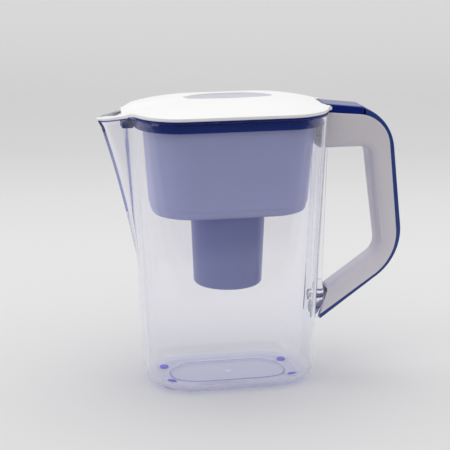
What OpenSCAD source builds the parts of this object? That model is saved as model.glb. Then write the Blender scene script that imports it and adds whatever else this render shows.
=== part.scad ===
// Water filter pitcher with a flip lid, a lift-out hopper and a drop-in filter cartridge.
// Origin at the centre of the base on the table, +Z up, spout towards -X, handle towards +X.

/* [Jug] */
// Outer length of the jug at its rim, without the spout
jug_length = 161; // [146:1:180]
// Outer width of the jug at its rim
jug_width = 103; // [96:1:126]
// Height of the rim above the table
jug_height = 228; // [226:0.5:250]
// Outer corner radius of the rim
jug_corner = 38; // [30:1:42]
// Inward lean of each end wall from rim to floor
jug_lean_x = 10.5; // [6:0.5:12]
// Inward lean of each side wall from rim to floor
jug_lean_y = 2.5; // [1:0.5:9]
// Wall thickness of the jug
jug_wall = 2.3; // [1.8:0.1:3]
// Floor thickness of the jug
jug_floor = 3.8; // [3:0.1:5]
// Outer radius between wall and floor
jug_fillet = 12; // [8:0.5:16]
// Length of the oval recess under the floor
recess_length = 101; // [80:1:104]
// Width of the oval recess under the floor
recess_width = 57; // [40:1:60]
// Depth of the oval recess
recess_depth = 1.4; // [0.6:0.1:1.8]

/* [Spout] */
// How far the spout reaches in front of the jug at the rim
spout_reach = 25.5; // [18:0.5:34]
// Half width of the spout where it leaves the jug
spout_half = 30; // [24:0.5:36]
// Height at which the spout starts to grow out of the wall
spout_start = 90; // [60:1:130]
// How much the rim falls towards the tip of the spout
spout_drop = 3.7; // [2:0.1:6]
// Roundness of the spout's tip
spout_tip = 0.22; // [0.12:0.02:0.5]
// How gently the spout's flanks run out into the jug's front
spout_flare = 3.2; // [2:0.1:4]

/* [Feet] */
// Radius of one foot pad
foot_radius = 4; // [3:0.1:5]
// Distance of the pads from the centre along the length
foot_x = 52; // [48:0.5:54]
// Distance of the pads from the centre along the width
foot_y = 21; // [19:0.5:26]
// How far the pads stand proud of the jug
foot_proud = 0.8; // [0.4:0.1:1.5]
// How deep the pads sit in their sockets
foot_socket = 1.4; // [0.8:0.1:2]

/* [Hopper] */
// Height of the dark band around the hopper's rim
band_height = 8.2; // [6:0.1:12]
// Wall thickness of the hopper
hopper_wall = 2; // [1.6:0.1:2.6]
// Clearance between the hopper's band and the jug
band_gap = 0.35; // [0.3:0.05:0.8]
// Thickness of the flange that rests on the jug's rim
flange_thick = 1.4; // [1.2:0.1:1.6]
// Inset of the tray's end walls from the jug's inner wall
tray_inset_x = 7.3; // [4:0.1:9]
// Inset of the tray's side walls from the jug's inner wall
tray_inset_y = 3.3; // [2.5:0.1:6]
// Depth of the tray below the band
tray_depth = 73; // [50:1:85]
// Inward lean of the tray's end walls over its depth
tray_lean_x = 5.4; // [3:0.1:8]
// Inward lean of the tray's side walls over its depth
tray_lean_y = 4.6; // [3:0.1:8]
// Height of the step around the tray's floor
tray_step = 7; // [5:0.5:12]
// Depth of that step
tray_step_in = 0.8; // [0.4:0.1:1.5]
// Thickness of the tray's floor
tray_floor = 2.2; // [1.8:0.1:3]
// Outer radius of the filter socket at the tray
socket_top = 31.4; // [30:0.1:34]
// Outer radius of the filter socket at its lower end
socket_low = 28.4; // [27.5:0.1:30]
// Length of the filter socket below the tray
socket_depth = 63.8; // [60:0.2:75]
// Radius of the opening in the socket's end
socket_outlet = 13; // [8:0.5:16]
// Reach of the front tongue in front of the band
tongue_reach = 9.5; // [6:0.5:14]
// Half width of the front tongue
tongue_half = 6; // [4:0.5:8]
// Height of the front tongue
tongue_height = 4.4; // [4:0.1:7]
// How far the tongue hangs below the band
tongue_drop = 1.7; // [0:0.1:4]

/* [Lid] */
// How far the lid stands out past the jug's rim
lid_overhang = 0.85; // [0.3:0.05:1.5]
// Height of the lid's edge
lid_edge = 2.6; // [2.2:0.1:3.2]
// Height of the crown above the edge
lid_crown = 8.7; // [5:0.1:12]
// How flat the crown is in the middle
crown_power = 2.7; // [2:0.1:3.2]
// Thickness of the lid
lid_thick = 2; // [1.6:0.1:2.4]
// Gap between the flange and the lid
lid_gap = 0.5; // [0.4:0.05:0.8]
// Length of the oval inset
inlay_length = 74; // [50:1:90]
// Width of the oval inset
inlay_width = 26; // [16:1:34]
// Thickness of the oval inset plate
inlay_thick = 1; // [0.8:0.1:1.4]
// Depth of the inset plate below the crown
inlay_sink = 0.8; // [0.6:0.1:1.2]
// Half width of the pour slot at its wide end
slot_half = 8; // [6:0.5:9]
// Length of the pour slot
slot_length = 17.5; // [12:0.5:19]
// Distance of the slot's point from the tip of the lid
slot_margin = 2.2; // [1.8:0.1:4]

/* [Lid hinge] */
// Radius of the hinge pins
pin_radius = 0.8; // [0.7:0.05:1]
// Running clearance of the hinge pins in the lid
pin_clear = 0.06; // [0.03:0.01:0.1]
// Outer radius of the hopper's hinge lugs
lug_radius = 1.7; // [1.6:0.05:2]
// Outer radius of the lid's knuckles
knuckle_radius = 1.8; // [1.7:0.05:2]
// Distance of the hinge axis in front of the lid's rear edge
hinge_inset = 0; // [-0.3:0.05:0.1]
// Height of the hinge axis above the lid's lower edge
hinge_rise = 1.2; // [0.6:0.05:1.4]
// Width of each hopper lug
lug_width = 3; // [2:0.1:4]
// Width of each lid knuckle
knuckle_width = 4.4; // [3:0.1:6]

/* [Handle] */
// Half width of the white handle shell
handle_half = 14; // [13:0.5:17]
// Wall thickness of the shell
shell_wall = 2.4; // [2.2:0.1:3]
// How far the grip stands out behind the jug at mid height
grip_reach = 62.3; // [58:0.1:68]
// Depth of the grip from its inner face to the strip
grip_depth = 16.1; // [14:0.1:19]
// Drop from the jug's rim to the finger gap's upper edge
gap_drop = 32; // [30:0.5:44]
// Drop from the jug's rim to the upper rear corner of the shell
shell_drop = 6.5; // [5.5:0.25:9]
// Height of the lower rear corner of the shell
shell_low = 100; // [90:1:110]
// Height of the shell's lower end at the jug
arm_low = 51; // [44:1:56]
// Thickness of the strip along the grip
strip_thick = 3.5; // [3:0.1:5]
// How far the strip and the lever stay inside the shell's edges
strip_inset = 1.4; // [1:0.1:1.8]
// Depth of the strip's rib inside the shell
strip_rib = 2; // [1.5:0.1:3]

/* [Thumb lever] */
// Offset of the lever's front end from the jug's rear wall at the rim
lever_front = -2.5; // [-2.6:0.05:-2.3]
// Length of the lever
lever_length = 35.6; // [30:0.1:36]
// Thickness of the lever's top plate
lever_plate = 2; // [1.6:0.1:3]
// Distance of the lever's pin behind the jug's rear wall at the rim
lever_pin_back = 12.5; // [12:0.5:20]
// Radius of the lever's pin
lever_pin_radius = 1.5; // [1.2:0.1:2]
// Reach of the lip under the lid's rear edge
lip_reach = 1.25; // [1:0.05:1.3]
// Thickness of that lip
lip_thick = 0.9; // [0.7:0.1:1.1]
// Gap between the lever's front end and the lid's notch
notch_gap = 1.15; // [1:0.05:1.3]
// Gap between the lever and the strip behind it
lever_gap = 0.9; // [0.8:0.1:1.5]
// Wire radius of the return spring
wire_radius = 0.4; // [0.3:0.05:0.5]
// Turns of the return spring
spring_turns = 5; // [3:1:7]

/* [Screws] */
// Radius of the screws' shanks
screw_radius = 1.75; // [1.5:0.05:2]
// Length of the screws' shanks
screw_length = 10; // [8.5:0.5:10.5]
// Radius of the screws' heads
screw_head = 3.4; // [3:0.1:4]
// Radius of the bosses on the jug
boss_radius = 4.6; // [4:0.1:5]
// Length of the upper boss behind the wall
boss_length = 9; // [7:0.5:12]

/* [Filter cartridge] */
// Outer radius of the cartridge at its top
cart_top = 27.6; // [26:0.1:28]
// Outer radius of the cartridge at its lower end
cart_low = 25.4; // [24:0.1:25.8]
// Wall thickness of the cartridge
cart_wall = 1.6; // [1.2:0.1:2]
// Height of the cap above the tray's floor
cap_height = 11; // [8:0.5:16]
// Radius of the seal's section
seal_section = 1.2; // [1:0.1:1.4]
// Height of the carbon bed
carbon_height = 30; // [20:1:34]
// Thickness of each screen
screen_thick = 0.6; // [0.4:0.1:1]

/* [Hidden] */
$fn = 96;
corner_steps = 8;
face_steps = 12;
fit_gap = 0.05;
move_gap = 0.3;

base_z = foot_proud;
rear_x = jug_length / 2;
flange_bottom = jug_height + 0.1;
flange_top = flange_bottom + flange_thick;
lid_bottom = flange_top + lid_gap;
lid_top_edge = lid_bottom + lid_edge;
lid_apex = lid_top_edge + lid_crown;
lid_rear = rear_x + lid_overhang;
hinge_x = lid_rear - hinge_inset;
hinge_z = lid_bottom + hinge_rise;
band_bottom = jug_height - band_height;
gap_top = jug_height - gap_drop;
shell_top = jug_height - shell_drop;
tray_bottom = band_bottom - tray_depth;
socket_bottom = tray_bottom - socket_depth;

function smooth(t) = let (u = max(0, min(1, t))) u * u * (3 - 2 * u);

// Outline of a spout, 1 on its centre line and 0 at its half width
function beak(y, half) = let (t = min(1, abs(y) / half), e = spout_tip)
    pow((sqrt(1 + e * e) - sqrt(t * t + e * e)) / (sqrt(1 + e * e) - e), spout_flare);

// Reach and half width of the spout at a height
function reach_at(z) = spout_reach * pow(max(0, (z - spout_start) / (jug_height - spout_start)), 1.25);
function half_at(z) = spout_half * (0.4 + 0.6 * reach_at(z) / spout_reach);

// Rounded rectangle with a spout on its -X side, anticlockwise, always with as many points
function outline(length, width, radius, reach, half) =
    let (ax = length / 2 - radius, ay = width / 2 - radius)
    concat(
        [for (i = [0:corner_steps]) let (a = 90 * i / corner_steps)
            [ax + radius * cos(a), ay + radius * sin(a)]],
        [for (i = [0:corner_steps]) let (a = 90 + 90 * i / corner_steps, y = ay + radius * sin(a))
            [-ax + radius * cos(a) - reach * beak(y, half), y]],
        [for (i = [1 - face_steps:face_steps - 1]) let (y = -ay * i / face_steps)
            [-length / 2 - reach * beak(y, half), y]],
        [for (i = [0:corner_steps]) let (a = 180 + 90 * i / corner_steps, y = -ay + radius * sin(a))
            [-ax + radius * cos(a) - reach * beak(y, half), y]],
        [for (i = [0:corner_steps]) let (a = 270 + 90 * i / corner_steps)
            [ax + radius * cos(a), -ay + radius * sin(a)]]
    );

function at_height(points, z) = [for (p = points) [p[0], p[1], z]];

// Jug section at a height, drawn in by an inset
function jug_ring(z, inset, spout = 1) =
    let (k = 1 - z / jug_height)
    outline(jug_length - 2 * jug_lean_x * k - 2 * inset, jug_width - 2 * jug_lean_y * k - 2 * inset,
        jug_corner - inset, spout * max(0, reach_at(z) - 0.4 * inset), half_at(z) - 0.4 * inset);
function wall_x(z) = rear_x - jug_lean_x * (1 - z / jug_height);

// Fall of the rim towards the spout's tip
function rim_drop(x) = spout_drop * smooth((-x - rear_x + 1) / spout_reach);
function jug_level(z, inset) = [for (p = jug_ring(z, inset))
    [p[0], p[1], z - rim_drop(p[0]) * smooth((z - 0.75 * jug_height) / (0.25 * jug_height))]];

// Closed solid through rings of equal length, the first and last ring capped
module loft(rings) {
    n = len(rings[0]);
    last = len(rings) - 1;
    sides = [for (k = [0:last - 1], i = [0:n - 1]) let (j = (i + 1) % n)
        each [[k * n + i, (k + 1) * n + i, k * n + j], [k * n + j, (k + 1) * n + i, (k + 1) * n + j]]];
    first_cap = [for (i = [0:n - 1]) i];
    last_cap = [for (i = [0:n - 1]) last * n + n - 1 - i];
    polyhedron([for (ring = rings, p = ring) p], concat(sides, [first_cap, last_cap]));
}

// Upright profile in the XZ plane, given a width along Y about the middle
module upright(points, half) {
    translate([0, half, 0])
        rotate([90, 0, 0])
            linear_extrude(2 * half)
                polygon(points);
}

// Cylinder along Y between two distances from the middle
module cross_pin(x, z, radius, from, to) {
    translate([x, to, z])
        rotate([90, 0, 0])
            cylinder(r = radius, h = to - from);
}

// Corner of a path rounded by an arc, as points
function unit(v) = v / norm(v);
function rounded(p, q, s, r, steps = 12) =
    let (u = unit(p - q), v = unit(s - q), opening = acos(u * v),
        c = q + unit(u + v) * r / sin(opening / 2),
        start = q + u * r / tan(opening / 2) - c,
        finish = q + v * r / tan(opening / 2) - c,
        a = atan2(start[1], start[0]),
        raw = atan2(finish[1], finish[0]) - a,
        turn = raw > 180 ? raw - 360 : raw < -180 ? raw + 360 : raw)
    [for (i = [0:steps]) c + r * [cos(a + turn * i / steps), sin(a + turn * i / steps)]];

// Jug
jug_levels = [0.22, 0.4, 0.48, 0.56, 0.64, 0.72, 0.8, 0.87, 0.94, 1];
lug_top = arm_low + 33;
lug_mid = arm_low + 17;
lug_reach = 8;
lug_points = [
    [wall_x(lug_top) - 1, lug_top], [wall_x(lug_top) + 4.5, lug_top - 6],
    [wall_x(lug_mid) + lug_reach - 0.5, lug_mid + 4], [wall_x(lug_mid) + lug_reach, lug_mid],
    [wall_x(lug_mid) + lug_reach - 0.6, lug_mid - 6], [wall_x(arm_low) + 4.8, arm_low + 5],
    [wall_x(arm_low) + 3.2, arm_low - 1], [wall_x(arm_low) - 1, arm_low - 1]
];
upper_screw_z = gap_top + 11;
lower_screw_z = lug_mid - 1;
rail_half = handle_half - 1;

module jug_shape() {
    inner_fillet = jug_fillet - jug_wall;
    floor_z = base_z + jug_floor;
    outer_floor = [for (i = [0:6]) let (a = 15 * i, z = base_z + jug_fillet * (1 - cos(a)))
        at_height(jug_ring(z, jug_fillet * (1 - sin(a)), 0), z)];
    outer_wall = [for (s = jug_levels) jug_level(s * (jug_height - 0.5), 0)];
    rim = [jug_level(jug_height, 0.5), jug_level(jug_height, jug_wall - 0.5)];
    inner_wall = [for (i = [len(jug_levels) - 1:-1:0])
        jug_level(jug_levels[i] * (jug_height - 0.5), jug_wall)];
    inner_floor = [for (i = [6:-1:0]) let (a = 15 * i, z = floor_z + inner_fillet * (1 - cos(a)))
        at_height(jug_ring(z, jug_wall + inner_fillet * (1 - sin(a)), 0), z)];
    loft(concat(outer_floor, outer_wall, rim, inner_wall, inner_floor));
}

module screw_boss(z, reach) {
    translate([wall_x(z) - jug_wall / 2, 0, z])
        rotate([0, 90, 0])
            cylinder(r = boss_radius, h = reach + jug_wall / 2);
}

module jug_body() {
    color([0.86, 0.87, 0.92, 0.4])
        difference() {
            union() {
                jug_shape();
                difference() {
                    upright(lug_points, rail_half);
                    translate([wall_x(arm_low) + 0.5, -rail_half + 3, arm_low - 2])
                        cube([20, 2 * rail_half - 6, lug_top - arm_low + 2]);
                }
                screw_boss(lower_screw_z, lug_reach - 1);
                screw_boss(upper_screw_z, boss_length);
            }
            translate([0, 0, base_z - 1])
                linear_extrude(recess_depth + 1)
                    polygon(outline(recess_length, recess_width, recess_width / 2 - 1, 0, 1));
            for (sx = [-1, 1], sy = [-1, 1])
                translate([sx * foot_x, sy * foot_y, -1])
                    cylinder(r = foot_radius + fit_gap, h = foot_proud + foot_socket + 1);
            for (z = [lower_screw_z, upper_screw_z])
                translate([wall_x(z) + 0.6, 0, z])
                    rotate([0, 90, 0])
                        cylinder(r = screw_radius + fit_gap, h = 20);
        }
}

module base_feet() {
    color("mediumblue")
        for (sx = [-1, 1], sy = [-1, 1])
            translate([sx * foot_x, sy * foot_y, 0])
                cylinder(r = foot_radius, h = foot_proud + foot_socket);
}

// Handle: corners of the shell's back edge, of the finger gap and of the strip's outer edge
grip_slope = 0.098;
grip_mid = 160;
gap_slope = 0.711;
top_slope = 0.116;
shell_bend_top = 29;
shell_bend_low = 43;
strip_bend_top = 40;
strip_bend_low = 48;
gap_bend_top = 9;
gap_bend_low = 14;
shell_fall = 4.8;
strip_rise = 7.1;
end_gap = 4;
grip_x = rear_x + grip_reach - strip_thick;
far_x = grip_x + handle_half;
function back_x(z) = grip_x + (grip_mid - z) * grip_slope;
shell_front_top = shell_top + shell_fall;
shell_corner_top = [back_x(shell_top), shell_top];
shell_corner_low = [back_x(shell_low), shell_low];
shell_end_low = [wall_x(arm_low) + 5, arm_low + 2];
gap_x_top = back_x(gap_top) - grip_depth - 1.2;
gap_low = shell_low + 7;
gap_corner_top = [gap_x_top, gap_top];
gap_corner_low = [back_x(gap_low) - grip_depth, gap_low];
gap_end_x = wall_x(lug_mid) + lug_reach + end_gap;
gap_end_low = [gap_end_x, gap_low - (back_x(gap_low) - grip_depth - gap_end_x) * gap_slope];
strip_corner_top = shell_corner_top + [strip_thick - 0.2, strip_thick + 1.9];
strip_corner_low = shell_corner_low + [strip_thick + 1.1, 0.1];
strip_end_low = shell_end_low + [0.6, -4.4];
strip_front_top = [rear_x, shell_front_top + strip_rise];

shell_upper = rounded([rear_x, shell_front_top], shell_corner_top, shell_corner_low, shell_bend_top);
shell_lower = rounded(shell_corner_top, shell_corner_low, shell_end_low, shell_bend_low);
strip_back = concat(
    rounded(strip_front_top, strip_corner_top, strip_corner_low, strip_bend_top),
    rounded(strip_corner_top, strip_corner_low, strip_end_low, strip_bend_low));
shell_front = concat(
    rounded(gap_end_low, gap_corner_low, gap_corner_top, gap_bend_low),
    rounded(gap_corner_low, gap_corner_top, [rear_x, gap_top], gap_bend_top));
shell_low_end = [
    shell_end_low,
    [wall_x(arm_low) + 4.9 + fit_gap, arm_low + 5],
    [wall_x(lug_mid) + lug_reach - 0.6 + fit_gap, lug_mid - 6],
    [wall_x(lug_mid) + lug_reach + fit_gap, lug_mid],
    [wall_x(lug_mid) + lug_reach - 0.5 + fit_gap, lug_mid + 4]
];
shell_points = concat(
    [[wall_x(gap_top) + fit_gap, gap_top], [wall_x(shell_front_top) + fit_gap, shell_front_top]],
    shell_upper, shell_lower, shell_low_end, [gap_end_low], shell_front);

// Channel inside the shell, open to the back
function shift(points, d) = [for (p = points) p + d];
function turned(points) = [for (i = [len(points) - 1:-1:0]) points[i]];
function push(p, q, s, d) = let (u = unit(p - q), v = unit(s - q))
    q - unit(u + v) * d / sin(acos(u * v) / 2);
gap_side_low = push(gap_end_low, gap_corner_low, gap_corner_top, shell_wall);
gap_side_top = push(gap_corner_low, gap_corner_top, [rear_x, gap_top], shell_wall);
arm_line = unit(gap_corner_low - gap_end_low);
channel_end_low = gap_end_low + shell_wall * [arm_line[1], -arm_line[0]];
end_wall_x = wall_x(lug_mid) + lug_reach + shell_wall + 0.6;
channel_points = concat(
    [[far_x, lid_apex], [rear_x + shell_wall, lid_apex],
        [rear_x + shell_wall, gap_top + shell_wall]],
    turned(rounded(gap_side_low, gap_side_top, [rear_x, gap_top + shell_wall],
        gap_bend_top + shell_wall)),
    turned(rounded(channel_end_low, gap_side_low, gap_side_top, gap_bend_low + shell_wall)),
    [[end_wall_x, channel_end_low[1] + (end_wall_x - channel_end_low[0]) * gap_slope],
        [end_wall_x, arm_low - handle_half], [far_x, arm_low - handle_half]]);
channel_half = handle_half - shell_wall;

// Lever and its seat
lever_half = handle_half - strip_inset;
lever_x = rear_x + lever_front;
lever_end = lever_x + lever_length;
lever_pin_x = rear_x + lever_pin_back;
lever_pin_z = shell_front_top - 5.3;
skirt_x = rear_x + shell_wall + 0.4;
skirt_low = shell_front_top - 6;
ear_low = lever_pin_z - lever_pin_radius - 1.8;
seat_half = lever_half + move_gap;
nose_low = flange_top + move_gap;
ear_half_length = 4;

module handle_shell() {
    color("whitesmoke")
        difference() {
            union() {
                difference() {
                    upright(shell_points, handle_half);
                    upright(channel_points, channel_half);
                }
                translate([rear_x, 0, upper_screw_z])
                    rotate([0, 90, 0])
                        translate([0, 0, 0.4])
                            cylinder(r = boss_radius + 1.6, h = boss_length + 1.2);
            }
            translate([skirt_x - move_gap, -seat_half, skirt_low - 2])
                cube([lever_end + lever_gap - skirt_x + move_gap, 2 * seat_half, 30]);
            translate([lever_pin_x - ear_half_length - 1, -seat_half, ear_low - 0.8])
                cube([2 * ear_half_length + 2, 2 * seat_half, 30]);
            translate([rear_x - 5, 0, upper_screw_z])
                rotate([0, 90, 0]) {
                    cylinder(r = boss_radius + fit_gap, h = 5 + boss_length + fit_gap
                        - jug_lean_x * (1 - upper_screw_z / jug_height));
                    cylinder(r = screw_radius + 0.1, h = 30);
                }
            translate([rear_x - 5, 0, lower_screw_z])
                rotate([0, 90, 0])
                    cylinder(r = screw_radius + 0.1, h = 30);
            cross_pin(lever_pin_x, lever_pin_z, lever_pin_radius + fit_gap,
                -handle_half + 0.4, handle_half - 0.4);
        }
}

module handle_strip() {
    strip_points = concat(
        [strip_front_top], strip_back, [strip_end_low, shell_end_low + [fit_gap, -fit_gap]],
        shift(turned(shell_lower), [fit_gap, -fit_gap]), shift(turned(shell_upper), [fit_gap, fit_gap]),
        [[rear_x, shell_front_top + fit_gap]]);
    rib_top = push([rear_x, shell_front_top], shell_corner_top, shell_corner_low, -strip_rib);
    rib_low = push(shell_corner_top, shell_corner_low, shell_end_low, -strip_rib);
    rib_front = [rear_x, shell_front_top - strip_rib];
    rib_end = shell_end_low + strip_rib * [-0.6, 0.8];
    rib_points = concat(
        [strip_front_top], strip_back, [strip_end_low, rib_end],
        turned(rounded(rib_top, rib_low, rib_end, shell_bend_low - strip_rib)),
        turned(rounded(rib_front, rib_top, rib_low, shell_bend_top - strip_rib)), [rib_front]);
    start = lever_end + lever_gap;
    color("royalblue")
        difference() {
            union() {
                upright(strip_points, lever_half);
                intersection() {
                    upright(rib_points, channel_half - 0.1);
                    block(end_wall_x + 1, far_x, handle_half, arm_low, jug_height);
                }
            }
            block(0, start, handle_half, shell_low, lid_apex);
        }
}

module screw(x, z) {
    translate([x, 0, z])
        rotate([0, 90, 0]) {
            translate([0, 0, -screw_length])
                cylinder(r = screw_radius, h = screw_length + 0.5);
            difference() {
                cylinder(r = screw_head, h = 2.2);
                translate([0, 0, 1])
                    cylinder(r = 1.4, h = 2, $fn = 6);
            }
        }
}

module handle_screws() {
    color("silver") {
        screw(rear_x + boss_length + 1.6 + fit_gap, upper_screw_z);
        screw(end_wall_x + fit_gap, lower_screw_z);
    }
}

module lever_pin() {
    color("lightsteelblue")
        cross_pin(lever_pin_x, lever_pin_z, lever_pin_radius, -handle_half + 0.5, handle_half - 0.5);
}

// Closed tube through a list of points
module tube(path, radius, sides) {
    last = len(path) - 1;
    loft([for (i = [0:last])
        let (t = unit(path[min(last, i + 1)] - path[max(0, i - 1)]),
            side = unit(cross(t, abs(t[1]) > 0.9 ? [1, 0, 0] : [0, 1, 0])),
            other = cross(t, side))
        [for (k = [0:sides - 1]) path[i] - radius * cos(360 * k / sides) * side
            + radius * sin(360 * k / sides) * other]]);
}

module lever_spring() {
    coil = lever_pin_radius + 0.3 + wire_radius;
    pitch = 2.6 * wire_radius;
    rise = spring_turns * pitch;
    coil_path = [for (i = [0:spring_turns * 16]) let (a = 90 + 360 * i / 16)
        [lever_pin_x + coil * cos(a), pitch * i / 16 - rise / 2, lever_pin_z + coil * sin(a)]];
    start_leg = [[lever_pin_x + 9, -rise / 2, lever_pin_z + coil - 0.6]];
    end_leg = [[skirt_x + 2.4, rise / 2, lever_pin_z + coil]];
    color("silver")
        tube(concat(start_leg, coil_path, end_leg), wire_radius, 6);
}

// All that lies below the lever's straight top
module lever_outline(half, drop) {
    rear = lever_end + 1;
    translate([0, 0, -drop])
        upright([strip_front_top + [-8, 8 * top_slope],
            [rear, strip_front_top[1] - (rear - rear_x) * top_slope], [rear, arm_low], [rear_x - 8, arm_low]],
            half);
}

module block(from_x, to_x, half, from_z, to_z) {
    translate([from_x, -half, from_z])
        cube([to_x - from_x, 2 * half, to_z - from_z]);
}

module thumb_lever() {
    high = strip_front_top[1] + lever_plate;
    skin = 1.4;
    color("navy")
        difference() {
            union() {
                intersection() {
                    lever_outline(lever_half, 0);
                    union() {
                        block(skirt_x, lever_end, lever_half, skirt_low + 0.6, high);
                        block(rear_x + 0.6, skirt_x + 1, lever_half, shell_front_top + move_gap, high);
                        block(lever_x, rear_x + 1, lever_half, nose_low, high);
                    }
                }
                block(lever_x - lip_reach, lever_x + 1, lever_half - 0.2, nose_low, nose_low + lip_thick);
                for (s = [-1, 1])
                    translate([0, s * (lever_half - skin / 2), 0])
                        block(lever_pin_x - ear_half_length, lever_pin_x + ear_half_length, skin / 2,
                            ear_low, skirt_low + 3);
            }
            intersection() {
                lever_outline(lever_half - skin, lever_plate);
                block(skirt_x + skin, lever_end - skin, lever_half, ear_low - 1, high);
            }
            cross_pin(lever_pin_x, lever_pin_z, lever_pin_radius + 0.06, -20, 20);
        }
}

// Hopper
function tray_ring(z, inset) =
    let (k = (band_bottom - z) / tray_depth, lean = 1 - band_bottom / jug_height)
    outline(jug_length - 2 * (jug_lean_x * lean + jug_wall + tray_inset_x + tray_lean_x * k + inset),
        jug_width - 2 * (jug_lean_y * lean + jug_wall + tray_inset_y + tray_lean_y * k + inset),
        jug_corner - jug_wall - 1.7 * k - inset, 0, 1);

module hopper_shape() {
    inside = jug_wall + band_gap;
    step_z = tray_bottom + tray_step;
    floor_top = tray_bottom + tray_floor;
    loft([
        at_height(tray_ring(tray_bottom, tray_step_in + 3), tray_bottom),
        at_height(tray_ring(tray_bottom, tray_step_in + 0.9), tray_bottom + 0.9),
        at_height(tray_ring(tray_bottom, tray_step_in), tray_bottom + 3),
        at_height(tray_ring(step_z, tray_step_in), step_z - 0.6),
        at_height(tray_ring(step_z, 0), step_z),
        at_height(tray_ring(band_bottom, 0), band_bottom),
        at_height(jug_ring(band_bottom, inside, 0), band_bottom + 0.1),
        at_height(jug_ring(flange_bottom, inside, 0), flange_bottom),
        at_height(jug_ring(flange_bottom, 0.3, 0), flange_bottom + 0.01),
        at_height(jug_ring(flange_bottom, 0.3, 0), flange_top - 0.3),
        at_height(jug_ring(flange_bottom, 0.6, 0), flange_top),
        at_height(jug_ring(flange_bottom, inside + hopper_wall - 0.4, 0), flange_top),
        at_height(jug_ring(flange_bottom, inside + hopper_wall, 0), flange_top - 0.4),
        at_height(jug_ring(band_bottom, inside + hopper_wall, 0), band_bottom + hopper_wall),
        at_height(tray_ring(band_bottom, hopper_wall), band_bottom + hopper_wall - 0.1),
        at_height(tray_ring(tray_bottom, hopper_wall + tray_step_in), floor_top + 3),
        at_height(tray_ring(tray_bottom, hopper_wall + tray_step_in + 0.9), floor_top + 0.9),
        at_height(tray_ring(tray_bottom, hopper_wall + tray_step_in + 3), floor_top)
    ]);
}

socket_mouth = socket_top - hopper_wall;
socket_inside = socket_low - hopper_wall;
socket_profile = [
    [socket_outlet, socket_bottom], [socket_low - 1.2, socket_bottom],
    [socket_low - 0.4, socket_bottom + 0.4], [socket_low, socket_bottom + 1.2],
    [socket_top, tray_bottom + 0.5], [socket_mouth, tray_bottom + 0.5],
    [socket_mouth, tray_bottom - 4], [socket_inside, socket_bottom + hopper_wall],
    [socket_outlet, socket_bottom + hopper_wall]
];
lug_from = seat_half + 0.3;
knuckle_from = lug_from + lug_width + move_gap;

module hopper() {
    color([0.45, 0.48, 0.66])
        difference() {
            union() {
                hopper_shape();
                rotate_extrude()
                    polygon(socket_profile);
                block(-rear_x + jug_wall - tongue_reach, -rear_x + jug_wall + 2.4, tongue_half,
                    band_bottom - tongue_drop, band_bottom - tongue_drop + tongue_height);
                for (s = [-1, 1])
                    translate([0, s * (lug_from + lug_width / 2), 0]) {
                        block(hinge_x - lug_radius - 1, hinge_x + lug_radius, lug_width / 2,
                            flange_bottom, hinge_z - 0.3);
                        cross_pin(hinge_x, hinge_z, lug_radius, -lug_width / 2, lug_width / 2);
                    }
            }
            translate([0, 0, tray_bottom - 1])
                cylinder(r = socket_mouth, h = tray_floor + 2);
            for (s = [-1, 1])
                translate([0, s * (knuckle_from + knuckle_width / 2), 0])
                    cross_pin(hinge_x, hinge_z, knuckle_radius + move_gap,
                        -knuckle_width / 2 - move_gap, knuckle_width / 2 + move_gap);
            cross_pin(hinge_x, hinge_z, pin_radius + 0.02, -lug_from - lug_width - 1,
                lug_from + lug_width + 1);
            block(rear_x - jug_wall - band_gap - fit_gap, lid_rear, seat_half, flange_bottom, lid_apex);
        }
}

module hinge_pins() {
    color("silver")
        for (s = [0, 1])
            mirror([0, s, 0])
                cross_pin(hinge_x, hinge_z, pin_radius, lug_from + 0.1,
                    knuckle_from + knuckle_width - 0.4);
}

// Lid
lid_scales = [0.03, 0.2, 0.35, 0.5, 0.62, 0.72, 0.81, 0.88, 0.94, 0.98, 1];
lid_reach = spout_reach + 1.6;
function lid_outline(inset) = outline(2 * (lid_rear - inset), jug_width + 2 * (lid_overhang - inset),
    jug_corner + lid_overhang - inset, lid_reach - 1.4 * inset, spout_half + 1 - 0.5 * inset);
function lid_low(x) = lid_bottom - (lid_bottom - jug_height - move_gap) * smooth((-x - rear_x - 0.9) / 7)
    - rim_drop(x);
function beak_share(x) = smooth((-x - rear_x) / spout_reach);
function lid_high(x) = lid_low(x) + lid_edge - 0.7 * beak_share(x);
function lid_top(p, s) = let (edge = lid_high(p[0]))
    edge + (lid_apex - edge) * (1 - pow(s, crown_power + beak_share(p[0])));

module lid_shape() {
    outer = lid_outline(0);
    inner = lid_outline(lid_thick);
    loft(concat(
        [for (s = lid_scales)
            [for (p = inner) [s * p[0], s * p[1],
                max(lid_low(s * p[0]) + 0.6, lid_top(p, s * 0.97) - lid_thick)]]],
        [[for (p = inner) [p[0], p[1], lid_low(p[0])]]],
        [[for (p = outer) [p[0], p[1], lid_low(p[0])]]],
        [for (i = [len(lid_scales) - 1:-1:0]) let (s = lid_scales[i])
            [for (p = outer) [s * p[0], s * p[1], lid_top(p, s)]]]
    ));
}

function oval(length, width) = [for (a = [0:5:355]) [length / 2 * cos(a), width / 2 * sin(a)]];
inlay_top = lid_apex - inlay_sink;
slot_tip = -lid_rear - lid_reach + slot_margin;
slot_waist = slot_tip + 0.45 * slot_length;

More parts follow.
